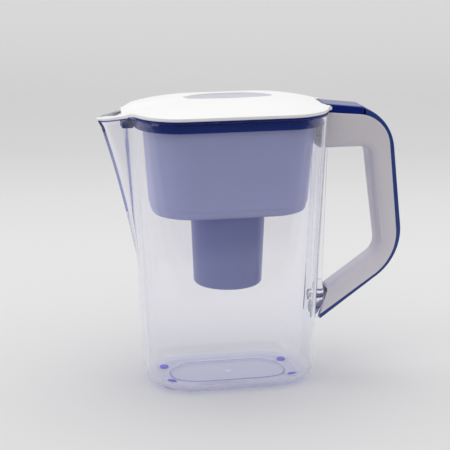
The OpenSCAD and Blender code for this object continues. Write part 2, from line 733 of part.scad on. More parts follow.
module lid_shell() {
    color("white")
        difference() {
            union() {
                lid_shape();
                translate([0, 0, inlay_top - inlay_thick - 1.6])
                    linear_extrude(1.6)
                        polygon(oval(inlay_length + 3, inlay_width + 3));
                for (s = [-1, 1])
                    translate([0, s * (knuckle_from + knuckle_width / 2), 0]) {
                        cross_pin(hinge_x, hinge_z, knuckle_radius, -knuckle_width / 2, knuckle_width / 2);
                        block(hinge_x - 3, hinge_x, knuckle_width / 2, lid_bottom, lid_bottom + 1.5);
                    }
            }
            translate([0, 0, inlay_top - inlay_thick])
                linear_extrude(10)
                    polygon(oval(inlay_length + 2 * fit_gap, inlay_width + 2 * fit_gap));
            translate([0, 0, jug_height - 20])
                linear_extrude(40)
                    polygon([[slot_tip, 0.8], [slot_tip, -0.8], [slot_waist, -0.72 * slot_half],
                        [slot_tip + slot_length, -slot_half], [slot_tip + slot_length, slot_half],
                        [slot_waist, 0.72 * slot_half]]);
            block(lever_x - lip_reach - 0.4, lid_rear + 1, lever_half + move_gap, lid_bottom - 1,
                nose_low + lip_thick + 0.4);
            block(lever_x - notch_gap, lid_rear + 1, lever_half + move_gap, lid_bottom - 1, lid_apex);
            for (s = [-1, 1])
                translate([0, s * (lug_from + lug_width / 2), 0]) {
                    cross_pin(hinge_x, hinge_z, lug_radius + move_gap, -lug_width / 2 - move_gap,
                        lug_width / 2 + move_gap);
                    block(hinge_x - lug_radius - 1 - move_gap, lid_rear + 1, lug_width / 2 + move_gap,
                        lid_bottom - 1, hinge_z);
                }
            cross_pin(hinge_x, hinge_z, pin_radius + pin_clear, -knuckle_from - knuckle_width - 1,
                knuckle_from + knuckle_width + 1);
        }
}

module lid_inlay() {
    color("lightgray")
        translate([0, 0, inlay_top - inlay_thick + fit_gap])
            linear_extrude(inlay_thick - fit_gap)
                polygon(oval(inlay_length, inlay_width));
}

// Filter cartridge
tray_top = tray_bottom + tray_floor;
cart_bottom = socket_bottom + hopper_wall + move_gap;
cart_height = tray_top + move_gap - cart_bottom;
flange_radius = socket_top - 0.4;
bed_gap = 0.05;
inside_top = cart_top - cart_wall;
inside_low = cart_low - cart_wall;
cone_height = cart_height + 2;
function inside_at(z) = inside_low - 0.1
    + (inside_top - inside_low) * (z - cart_bottom - cart_wall) / cone_height;
outlet_z = cart_bottom + cart_wall + bed_gap;
carbon_z = outlet_z + screen_thick + bed_gap;
resin_z = carbon_z + carbon_height + bed_gap;
inlet_z = tray_top + move_gap - screen_thick - bed_gap;
seal_z = tray_top - seal_section - 0.2;
seal_radius = socket_mouth - 0.08 - seal_section;

module ring(radius, section) {
    rotate_extrude()
        translate([radius, 0])
            circle(r = section, $fn = 48);
}

module cartridge_shell() {
    color("white")
        difference() {
            union() {
                translate([0, 0, cart_bottom])
                    cylinder(r1 = cart_low, r2 = cart_top, h = cart_height);
                translate([0, 0, tray_top + move_gap])
                    cylinder(r = flange_radius, h = 1.6);
            }
            translate([0, 0, cart_bottom + cart_wall])
                cylinder(r1 = inside_low, r2 = inside_top, h = cone_height);
            translate([0, 0, seal_z])
                ring(seal_radius, seal_section + 0.03);
            for (k = [0:7])
                rotate([0, 0, 45 * k])
                    translate([7, -1.2, cart_bottom - 1])
                        cube([7, 2.4, 4]);
        }
}

module cartridge_cap() {
    base = tray_top + move_gap + 1.6 + fit_gap;
    dome = inside_top - 1;
    color("white")
        difference() {
            union() {
                translate([0, 0, base])
                    cylinder(r = flange_radius, h = 1.4);
                translate([0, 0, base])
                    cylinder(r1 = dome, r2 = dome - 3, h = cap_height - 3);
                translate([0, 0, base + cap_height - 3])
                    cylinder(r1 = dome - 3, r2 = dome - 6, h = 2);
                block(-9, 9, 1.6, base + cap_height - 3, base + cap_height + 6);
            }
            translate([0, 0, base - 1])
                cylinder(r1 = dome - 1.4, r2 = dome - 4.6, h = cap_height - 3);
            for (k = [0:11])
                rotate([0, 0, 30 * k + 15])
                    translate([dome - 8, -0.8, base + 2.4])
                        cube([10, 1.6, cap_height - 7]);
        }
}

module cartridge_seal() {
    color("dimgray")
        translate([0, 0, seal_z])
            ring(seal_radius, seal_section);
}

module inlet_screen() {
    color("gainsboro")
        translate([0, 0, inlet_z])
            cylinder(r = inside_at(inlet_z), h = screen_thick);
}

module outlet_screen() {
    color("gainsboro")
        translate([0, 0, outlet_z])
            cylinder(r = inside_at(outlet_z), h = screen_thick);
}

module bed(z, top) {
    translate([0, 0, z])
        cylinder(r1 = inside_at(z), r2 = inside_at(top), h = top - z);
}

module carbon_bed() {
    color("black")
        bed(carbon_z, carbon_z + carbon_height);
}

module resin_bed() {
    color("wheat")
        bed(resin_z, inlet_z - bed_gap);
}

jug_body();
base_feet();
handle_shell();
handle_strip();
handle_screws();
lever_pin();
lever_spring();
thumb_lever();
hopper();
hinge_pins();
lid_shell();
lid_inlay();
cartridge_shell();
cartridge_cap();
cartridge_seal();
inlet_screen();
outlet_screen();
carbon_bed();
resin_bed();
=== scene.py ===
import math
import bpy
import bmesh
from mathutils import Matrix, Vector


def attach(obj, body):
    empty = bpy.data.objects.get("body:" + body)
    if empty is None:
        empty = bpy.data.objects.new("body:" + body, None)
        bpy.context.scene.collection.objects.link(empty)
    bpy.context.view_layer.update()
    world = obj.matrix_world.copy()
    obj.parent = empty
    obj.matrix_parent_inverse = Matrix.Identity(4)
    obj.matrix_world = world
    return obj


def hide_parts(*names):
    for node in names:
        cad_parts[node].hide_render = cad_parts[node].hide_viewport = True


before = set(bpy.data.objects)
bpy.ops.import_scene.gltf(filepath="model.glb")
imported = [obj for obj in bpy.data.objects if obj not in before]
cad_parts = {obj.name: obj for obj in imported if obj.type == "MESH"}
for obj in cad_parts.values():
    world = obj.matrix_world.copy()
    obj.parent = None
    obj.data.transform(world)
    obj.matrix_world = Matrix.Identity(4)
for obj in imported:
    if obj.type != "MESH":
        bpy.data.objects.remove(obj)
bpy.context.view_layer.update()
scene = bpy.context.scene
mm = 0.001
print("frame loaded,", len(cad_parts), "nodes")


# Small helpers: all shapes are worked out in millimetres, in the row frame

def smooth(t):
    u = max(0.0, min(1.0, t))
    return u * u * (3 - 2 * u)


def steps(count):
    return [i / count for i in range(count + 1)]


# Angles through a quarter turn.
def quarter(count):
    return [math.pi / 2 * t for t in steps(count)]


def mix(a, b, t):
    return tuple(x + (y - x) * t for x, y in zip(a, b))


def unit(v):
    size = math.hypot(*v)
    return tuple(c / size for c in v)


# Corner q of the path p, q, s as an arc.
def rounded(p, q, s, radius, count=18):
    u, v = unit((p[0] - q[0], p[1] - q[1])), unit((s[0] - q[0], s[1] - q[1]))
    opening = math.acos(u[0] * v[0] + u[1] * v[1])
    w = unit((u[0] + v[0], u[1] + v[1]))
    back, reach = radius / math.tan(opening / 2), radius / math.sin(opening / 2)
    centre = (q[0] + w[0] * reach, q[1] + w[1] * reach)
    start = math.atan2(q[1] + u[1] * back - centre[1], q[0] + u[0] * back - centre[0])
    end = math.atan2(q[1] + v[1] * back - centre[1], q[0] + v[0] * back - centre[0])
    turn = (end - start + math.pi) % (2 * math.pi) - math.pi
    angles = [start + turn * t for t in steps(count)]
    return [(centre[0] + radius * math.cos(a), centre[1] + radius * math.sin(a)) for a in angles]


# Closed ring of points about a centre, in its own plane.
def ringOf(radius, sides, centre=(0.0, 0.0)):
    angles = [2 * math.pi * i / sides for i in range(sides)]
    return [(centre[0] + radius * math.cos(a), centre[1] + radius * math.sin(a)) for a in angles]


# Merges doubled points, turns the faces outwards and shades it smooth up to an angle.
def finishMesh(obj, sharp=35.0):
    work = bmesh.new()
    work.from_mesh(obj.data)
    bmesh.ops.remove_doubles(work, verts=work.verts, dist=0.004 * mm)
    bmesh.ops.dissolve_degenerate(work, edges=work.edges, dist=0.002 * mm)
    bmesh.ops.recalc_face_normals(work, faces=work.faces)
    work.to_mesh(obj.data)
    work.free()
    obj.data.shade_smooth()
    obj.data.set_sharp_from_angle(angle=math.radians(sharp))
    return obj


def newObject(name, points, faces, sharp=35.0):
    mesh = bpy.data.meshes.new(name)
    mesh.from_pydata([Vector(p) * mm for p in points], [], faces)
    obj = bpy.data.objects.new(name, mesh)
    scene.collection.objects.link(obj)
    return finishMesh(obj, sharp)


# Skin through rings of equal length; its ends are capped, or joined if closed.
def loft(name, rings, closed=False, sharp=35.0):
    n, last = len(rings[0]), len(rings) - 1
    faces = []
    for k in range(last + 1 if closed else last):
        a, b = k * n, ((k + 1) % (last + 1)) * n
        faces += [(a + i, a + (i + 1) % n, b + (i + 1) % n, b + i) for i in range(n)]
    if not closed:
        faces += [tuple(range(n)), tuple(last * n + i for i in range(n))]
    return newObject(name, [p for ring in rings for p in ring], faces, sharp)


# Outline pushed between two levels, along Z, or along Y for an outline in XZ.
def prism(name, outline, low, high, axis="z"):
    place = (lambda p, t: (p[0], p[1], t)) if axis == "z" else (lambda p, t: (p[0], t, p[1]))
    return loft(name, [[place(p, t) for p in outline] for t in (low, high)])


# What the modifiers make of an object becomes its plain mesh.
def bake(obj):
    evaluated = obj.evaluated_get(bpy.context.evaluated_depsgraph_get())
    mesh = bpy.data.meshes.new_from_object(evaluated)
    obj.modifiers.clear()
    obj.data = mesh
    return obj


# Adds other solids to an object, or cuts them out of it.
def combine(obj, others, operation, sharp=35.0):
    for other in others:
        step = obj.modifiers.new(operation, "BOOLEAN")
        step.operation, step.solver, step.object = operation, "EXACT", other
    bake(obj)
    for other in others:
        bpy.data.objects.remove(other)
    return finishMesh(obj, sharp)


# Puts other meshes into the same piece, as they are.
def joinPieces(obj, others):
    work = bmesh.new()
    work.from_mesh(obj.data)
    for other in others:
        work.from_mesh(other.data)
    work.to_mesh(obj.data)
    work.free()
    for other in others:
        bpy.data.objects.remove(other)
    return obj


def paint(obj, *materials):
    obj.data.materials.clear()
    for material in materials:
        obj.data.materials.append(material)
    return obj


# Materials

def srgb(text):
    parts = [int(text[i:i + 2], 16) / 255 for i in (0, 2, 4)]
    return tuple(c / 12.92 if c <= 0.04045 else ((c + 0.055) / 1.055) ** 2.4 for c in parts) + (1.0,)


def addNode(tree, kind, values=None, links=None, **settings):
    node = tree.nodes.new(kind)
    for name, value in settings.items():
        setattr(node, name, value)
    for name, value in (values or {}).items():
        node.inputs[name].default_value = value
    for name, source in (links or {}).items():
        tree.links.new(source, node.inputs[name])
    return node


def newMaterial(name):
    material = bpy.data.materials.new(name)
    material.use_nodes = True
    material.node_tree.nodes.clear()
    return material, material.node_tree


# Fine relief of a moulded surface; size and distance in millimetres.
def grain(tree, size, strength, detail=2.0, distance=0.05):
    place = addNode(tree, "ShaderNodeTexCoord")
    noise = addNode(tree, "ShaderNodeTexNoise", {"Scale": 1000 / size, "Detail": detail, "Roughness": 0.55},
                    {"Vector": place.outputs["Object"]})
    return noise, addNode(tree, "ShaderNodeBump", {"Strength": strength, "Distance": distance * mm},
                          {"Height": noise.outputs["Fac"]})


# Colour that drifts a little between two shades over some millimetres.
def cloudy(tree, colour, other, size):
    place = addNode(tree, "ShaderNodeTexCoord")
    noise = addNode(tree, "ShaderNodeTexNoise", {"Scale": 1000 / size, "Detail": 3.0},
                    {"Vector": place.outputs["Object"]})
    blend = addNode(tree, "ShaderNodeMix", {}, {0: noise.outputs["Fac"]}, data_type="RGBA")
    blend.inputs[6].default_value, blend.inputs[7].default_value = srgb(colour), srgb(other)
    return blend.outputs[2]


# Lets a share of the lamps' light, and of what the floor gives back, straight through a clear material, so
# that it casts a pale shadow. Light that has been mirrored inside a wall may leave it straight too.
def letLight(tree, surface, share, kinds=("Is Diffuse Ray", "Is Shadow Ray")):
    path = addNode(tree, "ShaderNodeLightPath")
    clear = addNode(tree, "ShaderNodeBsdfTransparent", {"Color": srgb(share)})
    for kind in kinds:
        surface = addNode(tree, "ShaderNodeMixShader", {}, {0: path.outputs[kind], 1: surface.outputs[0],
                                                            2: clear.outputs[0]})
    return surface


# Opaque moulded plastic: near even colour, a fine mould grain, slightly uneven gloss.
def plastic(name, colour, other, roughness, drift=40.0, size=0.35, relief=0.12):
    material, tree = newMaterial(name)
    noise, bump = grain(tree, size, relief)
    place = addNode(tree, "ShaderNodeTexCoord")
    blotch = addNode(tree, "ShaderNodeTexNoise", {"Scale": 1000 / 9.0, "Detail": 2.0},
                     {"Vector": place.outputs["Object"]})
    gloss = addNode(tree, "ShaderNodeMapRange", {"To Min": roughness * 0.85, "To Max": roughness * 1.15},
                    {"Value": blotch.outputs["Fac"]})
    shader = addNode(tree, "ShaderNodeBsdfPrincipled", {"IOR": 1.5},
                     {"Base Color": cloudy(tree, colour, other, drift), "Roughness": gloss.outputs[0],
                      "Normal": bump.outputs[0]})
    addNode(tree, "ShaderNodeOutputMaterial", {}, {"Surface": shader.outputs[0]})
    return material


# Drawn or turned steel: fine lines along one way, soft highlights.
def metal(name, colour, roughness, across=0.12):
    material, tree = newMaterial(name)
    place = addNode(tree, "ShaderNodeTexCoord")
    turn = addNode(tree, "ShaderNodeMapping", {"Scale": (1.0, 0.06, 1.0)},
                   {"Vector": place.outputs["Object"]})
    lines = addNode(tree, "ShaderNodeTexNoise", {"Scale": 1000 / across, "Detail": 2.0},
                    {"Vector": turn.outputs[0]})
    bump = addNode(tree, "ShaderNodeBump", {"Strength": 0.15, "Distance": 0.01 * mm},
                   {"Height": lines.outputs["Fac"]})
    gloss = addNode(tree, "ShaderNodeMapRange", {"To Min": roughness * 0.7, "To Max": roughness * 1.3},
                    {"Value": lines.outputs["Fac"]})
    shader = addNode(tree, "ShaderNodeBsdfPrincipled", {"Base Color": srgb(colour), "Metallic": 1.0},
                     {"Roughness": gloss.outputs[0], "Normal": bump.outputs[0]})
    addNode(tree, "ShaderNodeOutputMaterial", {}, {"Surface": shader.outputs[0]})
    return material


# Injection moulded SAN, polished: water clear, the colour only shows where light runs along the wall; a darker
# base colour paints that shade onto some faces
def clearSan(name, colour, density, base="fdfdff"):
    material, tree = newMaterial(name)
    noise, bump = grain(tree, 26.0, 0.05, 1.0, 0.25)  # the slow waviness of a moulded wall
    shader = addNode(tree, "ShaderNodeBsdfPrincipled",
                     {"Base Color": srgb(base), "Roughness": 0.015, "IOR": 1.5, "Transmission Weight": 1.0},
                     {"Normal": bump.outputs[0]})
    surface = letLight(tree, shader, "f4f4fa", ("Is Reflection Ray", "Is Shadow Ray"))
    inside = addNode(tree, "ShaderNodeVolumeAbsorption", {"Color": colour, "Density": density})
    addNode(tree, "ShaderNodeOutputMaterial", {},
            {"Surface": surface.outputs[0], "Volume": inside.outputs[0]})
    return material


# Blue tinted SAN with a finely matted face: light soaks through, shapes behind it blur.
def tintedSan(name, colour, other, roughness, through, light, sheen=0.0, gloss=0.5):
    material, tree = newMaterial(name)
    noise, bump = grain(tree, 0.8, 0.10)
    shader = addNode(tree, "ShaderNodeBsdfPrincipled",
                     {"Roughness": roughness, "IOR": 1.5, "Transmission Weight": through,
                      "Specular IOR Level": gloss, "Sheen Weight": sheen, "Sheen Roughness": 0.35,
                      "Sheen Tint": srgb("c9ccf2")},
                     {"Normal": bump.outputs[0], "Base Color": cloudy(tree, colour, other, 30.0)})
    surface = letLight(tree, shader, light)
    addNode(tree, "ShaderNodeOutputMaterial", {}, {"Surface": surface.outputs[0]})
    return material


sanTint = (0.30, 0.27, 0.90, 1.0)  # what is left of white light along a wall
clear = clearSan("clearSan", sanTint, 3.2)
paintedRimShade = clearSan("clearSanPaintedRimShade", sanTint, 4.0, "8f8fd8")  # painted shade: a violet line along the rim, where light runs along the wall
paintedStepShade = clearSan("clearSanPaintedStepShade", sanTint, 4.0, "5f5cc4")  # painted shade: a deep violet ring line on the moulded step under the base
# Frosted tray with pale soft edges; the cup a darker copy of it, painted shade for the cartridge behind it; a
# deep blue line at the rim, painted shade where the wall is doubled under the lid
trayBlue = tintedSan("tintedSanTray", "c9cce6", "cfd2eb", 0.30, 0.36, "c4c8ea", 0.7)
cupPaintedShade = tintedSan("tintedSanCupPaintedShade", "989fc8", "9fa6ce", 0.30, 0.40, "a8aed8", 0.6)
bandPaintedShade = tintedSan("tintedSanBandPaintedShade", "1a327c", "1e3784", 0.20, 0.12, "4a579a", 0.0, 0.2)
whiteAbs = plastic("whiteAbsSatin", "f4f4f3", "f0f0f0", 0.34)  # moulded satin: soft wide highlights
shellAbs = plastic("whiteAbsMatt", "e0dbe1", "dbd6dc", 0.36)  # fine matt mould: warm white, faint highlights
inlayAbs = plastic("paleGreySatin", "c3c3ce", "bfbfca", 0.36)  # satin: a shade cooler and darker than the lid
navyAbs = plastic("navyAbsGloss", "042080", "031d78", 0.22)  # polished: sharp light edges on deep blue
stripAbs = plastic("navyAbsSatin", "24408c", "213b84", 0.34)  # satin: one soft line of light
padBlue = plastic("blueTpe", "3c34dc", "362ed0", 0.42)  # soft rubbery blue that shows through the base
filterWhite = plastic("whitePolypropylene", "ecece8", "e6e6e2", 0.45)  # waxy off-white
# Coarse enough grain to show: a dull weave, then black grains and amber beads
meshGrey = plastic("wovenPolyester", "d4d4cf", "c6c6c1", 0.8, drift=0.9, size=0.5, relief=0.8)
sealGrey = plastic("siliconeRubber", "8b8e94", "83868c", 0.55)  # matt grey rubber
carbonBlack = plastic("carbonGranules", "141414", "3a3a3a", 0.7, drift=1.1, size=1.0, relief=1.0)
resinGold = plastic("resinBeads", "c9a465", "a8803f", 0.5, drift=0.9, size=0.8, relief=0.9)
steel = metal("drawnSteel", "c9cbce", 0.3)  # fine lines along the wire
print("materials ready:", len(bpy.data.materials))


# Jug: one clear moulding, its spout growing out of the front wall

jug = {
    "length": 161.0, "width": 103.0, "height": 228.0, "corner": 38.0, "leanX": 10.5, "leanY": 2.5,
    "wall": 2.3, "floor": 3.8, "fillet": 12.0, "base": 0.8, "rimRound": 0.9,
    "recessLength": 101.0, "recessWidth": 57.0, "recessDepth": 1.4, "gateRadius": 2.8,
    "spoutReach": 25.5, "spoutHalf": 30.0, "spoutStart": 90.0, "spoutDrop": 3.7, "spoutTip": 0.22,
    "spoutFlare": 3.2, "spoutLip": 1.5, "cornerSteps": 26, "faceSteps": 26, "levels": 46,
}
rearX = jug["length"] / 2


def beak(y, half):
    t, e = min(1.0, abs(y) / half), jug["spoutTip"]
    top = math.sqrt(1 + e * e)
    return ((top - math.sqrt(t * t + e * e)) / (top - e)) ** jug["spoutFlare"]


def reachAt(z):
    rise = max(0.0, (z - jug["spoutStart"]) / (jug["height"] - jug["spoutStart"]))
    return jug["spoutReach"] * rise ** 1.25 + jug["spoutLip"] * smooth((z - jug["height"] + 4) / 4)


def halfAt(z):
    return jug["spoutHalf"] * (0.4 + 0.6 * min(1.0, reachAt(z) / jug["spoutReach"]))


# Rounded rectangle with a spout on its -X side, anticlockwise, always with as many points.
def outline(length, width, radius, reach=0.0, half=1.0):
    ax, ay = length / 2 - radius, width / 2 - radius
    corner, face = jug["cornerSteps"], jug["faceSteps"]

    def arc(cx, cy, start):
        points = [(cx + radius * math.cos(start + a), cy + radius * math.sin(start + a))
                  for a in quarter(corner)]
        return [(x - reach * beak(y, half), y) for x, y in points] if cx < 0 else points

    across = [-ay * i / face for i in range(1 - face, face)]
    front = [(-length / 2 - reach * beak(y, half), y) for y in across]
    return (arc(ax, ay, 0.0) + arc(-ax, ay, math.pi / 2) + front
            + arc(-ax, -ay, math.pi) + arc(ax, -ay, 1.5 * math.pi))


def level(points, z):
    return [(p[0], p[1], z) for p in points]


def circle(radius, z):
    return level(outline(2 * radius, 2 * radius, radius), z)


def jugRing(z, inset, spout=1.0):
    k = 1 - z / jug["height"]
    length = jug["length"] - 2 * (jug["leanX"] * k + inset)
    width = jug["width"] - 2 * (jug["leanY"] * k + inset)
    return outline(length, width, jug["corner"] - inset, spout * max(0.0, reachAt(z) - 0.4 * inset),
                   halfAt(z) - 0.4 * inset)


def wallX(z):
    return rearX - jug["leanX"] * (1 - z / jug["height"])


def rimDrop(x):
    return jug["spoutDrop"] * smooth((-x - rearX + 1) / jug["spoutReach"])


def jugLevel(z, inset):
    share = smooth((z - 0.75 * jug["height"]) / (0.25 * jug["height"]))
    return [(p[0], p[1], z - rimDrop(p[0]) * share) for p in jugRing(z, inset)]


def makeJug():
    base, fillet, wall, rim = jug["base"], jug["fillet"], jug["wall"], jug["rimRound"]
    ceiling = base + jug["recessDepth"]
    gate, longer, wider = jug["gateRadius"], jug["recessLength"], jug["recessWidth"]

    def oval(grow, z):
        return level(outline(longer + grow, wider + grow, (wider + grow) / 2 - 1), z)

    gateMark = ((-0.5, 0.6), (-0.1, 0.5), (0.0, 0.1), (0.3, 0.0), (0.5, 0.0), (0.8, 0.0))
    recessStep = ((-3.6, 0.0), (-3.0, 0.0), (-1.0, 0.05), (-0.3, 0.2), (0.0, 0.5))
    rings = [circle(gate + out, ceiling - down) for out, down in gateMark]
    rings += [oval(out, ceiling - down) for out, down in recessStep]
    rings += [oval(0.1, base + 0.3), oval(0.8, base)]
    rings += [level(jugRing(base, fillet + 1.0, 0), base)]
    rings += [level(jugRing(base + fillet * (1 - math.cos(a)), fillet * (1 - math.sin(a)), 0),
                    base + fillet * (1 - math.cos(a))) for a in quarter(10)]
    low, high = base + fillet, jug["height"] - rim
    rings += [jugLevel(low + (high - low) * t, 0) for t in steps(jug["levels"])[1:]]
    rings += [jugLevel(high + rim * math.sin(a), rim * (1 - math.cos(a)))
              for a in quarter(5)[1:]]
    rings += [jugLevel(high + rim * math.cos(a), wall - rim * (1 - math.sin(a)))
              for a in quarter(5)]
    inner, floor = fillet - wall, base + jug["floor"]
    low = floor + inner
    rings += [jugLevel(high - (high - low) * t, wall) for t in steps(jug["levels"])[1:]]
    rings += [level(jugRing(floor + inner * (1 - math.sin(a)), wall + inner * (1 - math.cos(a)), 0),
                    floor + inner * (1 - math.sin(a))) for a in quarter(10)[1:]]
    rings += [level(jugRing(floor, wall + inner + 1.5, 0), floor)]
    return loft("jugBody", rings)


lug = {"low": 51.0, "rise": 33.0, "middle": 17.0, "reach": 8.0, "half": 13.0, "thick": 3.0, "railTop": 2.9,
       "railLow": 5.2}
screw = {"radius": 1.75, "head": 3.4, "boss": 4.6, "bossLength": 9.0, "length": 10.0, "headDrive": 1.4}
gapTop = jug["height"] - 32.0
upperScrewZ = gapTop + 11
lowerScrewZ = lug["low"] + lug["middle"] - 1


# The two clear rails beside the boss that the handle's lower end is screwed to.
def makeLug():
    top, middle, low = lug["low"] + lug["rise"], lug["low"] + lug["middle"], lug["low"]
    far = wallX(middle) + lug["reach"]
    profile = [(wallX(gapTop) - 1, gapTop - 0.4), (wallX(gapTop) + lug["railTop"], gapTop - 0.4),
               (wallX(top) + lug["railLow"], top - 3), (far - 0.5, middle + 4), (far, middle),
               (far - 0.6, middle - 6), (wallX(low) + 4.8, low + 5), (wallX(low) + 3.2, low - 1),
               (wallX(low) - 1, low - 1)]
    inner = lug["half"] - lug["thick"]
    rails = [prism("rail", profile, s * lug["half"], s * inner, "y") for s in (-1, 1)]
    for rail in rails:
        step = rail.modifiers.new("round", "BEVEL")
        step.width, step.segments, step.limit_method = 0.6 * mm, 2, "ANGLE"
        bake(rail)
    return rails


# Round bar along X, at the Y and Z of place.
def rod(name, radius, start, end, place, sides=48):
    ring = ringOf(radius, sides, place)
    return loft(name, [[(x, y, z) for y, z in ring] for x in (start, end)])


jugBody = makeJug()
bosses = [rod("boss", screw["boss"], wallX(z) - 1.2, wallX(z) + length, (0, z))
          for z, length in ((upperScrewZ, screw["bossLength"]), (lowerScrewZ, lug["reach"] - 1))]
combine(jugBody, makeLug() + bosses, "UNION")
foot = {"radius": 4.0, "x": 52.0, "y": 21.0, "proud": 0.8, "socket": 2.6, "round": 0.5, "squeeze": 0.08}
footHigh = foot["proud"] + foot["socket"]
sockets = []
for sx in (-1, 1):
    for sy in (-1, 1):
        ring = ringOf(foot["radius"] - foot["squeeze"], 48, (sx * foot["x"], sy * foot["y"]))
        sockets.append(prism("socket", ring, -1.0, footHigh - foot["squeeze"]))
holes = [rod("hole", screw["radius"] + 0.05, wallX(z) + 0.6, wallX(z) + 20, (0, z))
         for z in (lowerScrewZ, upperScrewZ)]
combine(jugBody, sockets + holes, "DIFFERENCE")
paint(jugBody, clear, paintedRimShade, paintedStepShade)
# Painted shade: the rim faces take the violet rim line, the faces of the step under the base take the deep violet
# ring line
for face in jugBody.data.polygons:
    x, y, z = (c / mm for c in face.center)
    turn = jug["recessWidth"] / 2 - 1
    fromStep = math.hypot(max(0.0, abs(x) - jug["recessLength"] / 2 + turn), max(0.0, abs(y) - 1)) - turn
    if z > jug["height"] - rimDrop(x) - 1.6:
        face.material_index = 1
    elif z < jug["base"] + jug["recessDepth"] + 0.05 and -1.4 < fromStep < 0.9:
        face.material_index = 2
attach(jugBody, "jug")
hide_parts("jug_body")
print("jug:", len(jugBody.data.polygons), "faces")


# Hopper: tray, rim band and the socket for the cartridge, one tinted moulding

tray = {
    "bandHeight": 8.2, "bandGap": 0.35, "wall": 2.0, "flange": 1.4, "insetX": 7.3, "insetY": 3.3,
    "depth": 73.0, "leanX": 5.4, "leanY": 4.6, "step": 7.0, "stepIn": 0.8, "floor": 2.2,
    "socketTop": 31.4, "socketLow": 28.4, "socketDepth": 63.8, "outlet": 13.0, "socketRound": 3.0,
    "tongueReach": 9.5, "tongueHalf": 6.0, "tongueHeight": 4.4, "tongueDrop": 1.7,
}
flangeLow = jug["height"] + 0.1
flangeTop = flangeLow + tray["flange"]
bandLow = jug["height"] - tray["bandHeight"]
trayLow = bandLow - tray["depth"]
socketLow = trayLow - tray["socketDepth"]


def trayRing(z, inset, lift=None):
    k, lean, wall = (bandLow - z) / tray["depth"], 1 - bandLow / jug["height"], jug["wall"]
    fromX = jug["leanX"] * lean + wall + tray["insetX"] + tray["leanX"] * k + inset
    fromY = jug["leanY"] * lean + wall + tray["insetY"] + tray["leanY"] * k + inset
    ring = outline(jug["length"] - 2 * fromX, jug["width"] - 2 * fromY, jug["corner"] - wall - 1.7 * k - inset)
    return level(ring, z if lift is None else lift)


def bandRing(z, inset, lift=None):
    return level(jugRing(z, inset, 0), z if lift is None else lift)


def makeHopper():
    wall, clearance = tray["wall"], jug["wall"] + tray["bandGap"]
    stepZ, floorTop, stepIn = trayLow + tray["step"], trayLow + tray["floor"], tray["stepIn"]
    mouth, inside, turn = tray["socketTop"] - wall, tray["socketLow"] - wall, tray["socketRound"]
    rings = [circle(tray["outlet"], socketLow)]
    rings += [circle(tray["socketLow"] - turn * (1 - math.sin(a)), socketLow + turn * (1 - math.cos(a)))
              for a in quarter(6)]
    rings += [circle(tray["socketTop"] - 0.6, trayLow - 1.5), circle(tray["socketTop"], trayLow - 0.4),
              circle(tray["socketTop"] + 0.6, trayLow)]
    rings += [trayRing(trayLow, stepIn + 4.0)]
    rings += [trayRing(trayLow, stepIn + 3.0 * (1 - math.sin(a)), trayLow + 3.0 * (1 - math.cos(a)))
              for a in quarter(6)]
    rings += [trayRing(stepZ, stepIn, stepZ - 0.7), trayRing(stepZ, stepIn - 0.15, stepZ - 0.35),
              trayRing(stepZ, 0.1, stepZ), trayRing(stepZ, 0, stepZ + 0.3)]
    rings += [trayRing(stepZ + (bandLow - stepZ - 0.6) * t, 0) for t in steps(6)[1:]]
    rings += [trayRing(bandLow, -0.5, bandLow - 0.05), bandRing(bandLow, clearance + 0.3, bandLow),
              bandRing(bandLow, clearance, bandLow + 0.3)]
    rings += [bandRing(flangeLow, clearance, flangeLow), bandRing(flangeLow, 0.3, flangeLow + 0.01),
              bandRing(flangeLow, 0.3, flangeTop - 0.35), bandRing(flangeLow, 0.42, flangeTop - 0.1),
              bandRing(flangeLow, 0.7, flangeTop)]
    rings += [bandRing(flangeLow, clearance + wall - 0.5, flangeTop),
              bandRing(flangeLow, clearance + wall - 0.15, flangeTop - 0.15),
              bandRing(flangeLow, clearance + wall, flangeTop - 0.5)]
    rings += [bandRing(bandLow, clearance + wall, bandLow + wall + 0.4),
              bandRing(bandLow, clearance + wall + 0.3, bandLow + wall),
              trayRing(bandLow, wall - 0.2, bandLow + wall - 0.1),
              trayRing(bandLow, wall, bandLow + wall - 0.5)]
    rings += [trayRing(bandLow + (floorTop + 3 - bandLow) * t, wall + stepIn * smooth(t * 1.1))
              for t in steps(6)[1:-1]]
    rings += [trayRing(trayLow, wall + stepIn + 3.0 * (1 - math.cos(a)), floorTop + 3.0 * (1 - math.sin(a)))
              for a in quarter(6)]
    rings += [trayRing(trayLow, wall + stepIn + 4.0, floorTop)]
    rings += [circle(mouth + 0.6, floorTop), circle(mouth, floorTop - 0.6), circle(mouth, trayLow - 4),
              circle(inside, socketLow + wall + 1), circle(inside - 1, socketLow + wall),
              circle(tray["outlet"], socketLow + wall)]
    return loft("hopperBody", rings, closed=True)


def box(name, fromX, toX, fromY, toY, fromZ, toZ, bevel=0.0):
    obj = prism(name, [(fromX, fromY), (toX, fromY), (toX, toY), (fromX, toY)], fromZ, toZ)
    if bevel:
        step = obj.modifiers.new("round", "BEVEL")
        step.width, step.segments = bevel * mm, 3
        finishMesh(bake(obj))
    return obj


# Round bar along Y, at the X and Z of place.
def barrel(name, radius, fromY, toY, place, sides=32):
    ring = ringOf(radius, sides, place)
    return loft(name, [[(x, y, z) for x, z in ring] for y in (fromY, toY)])


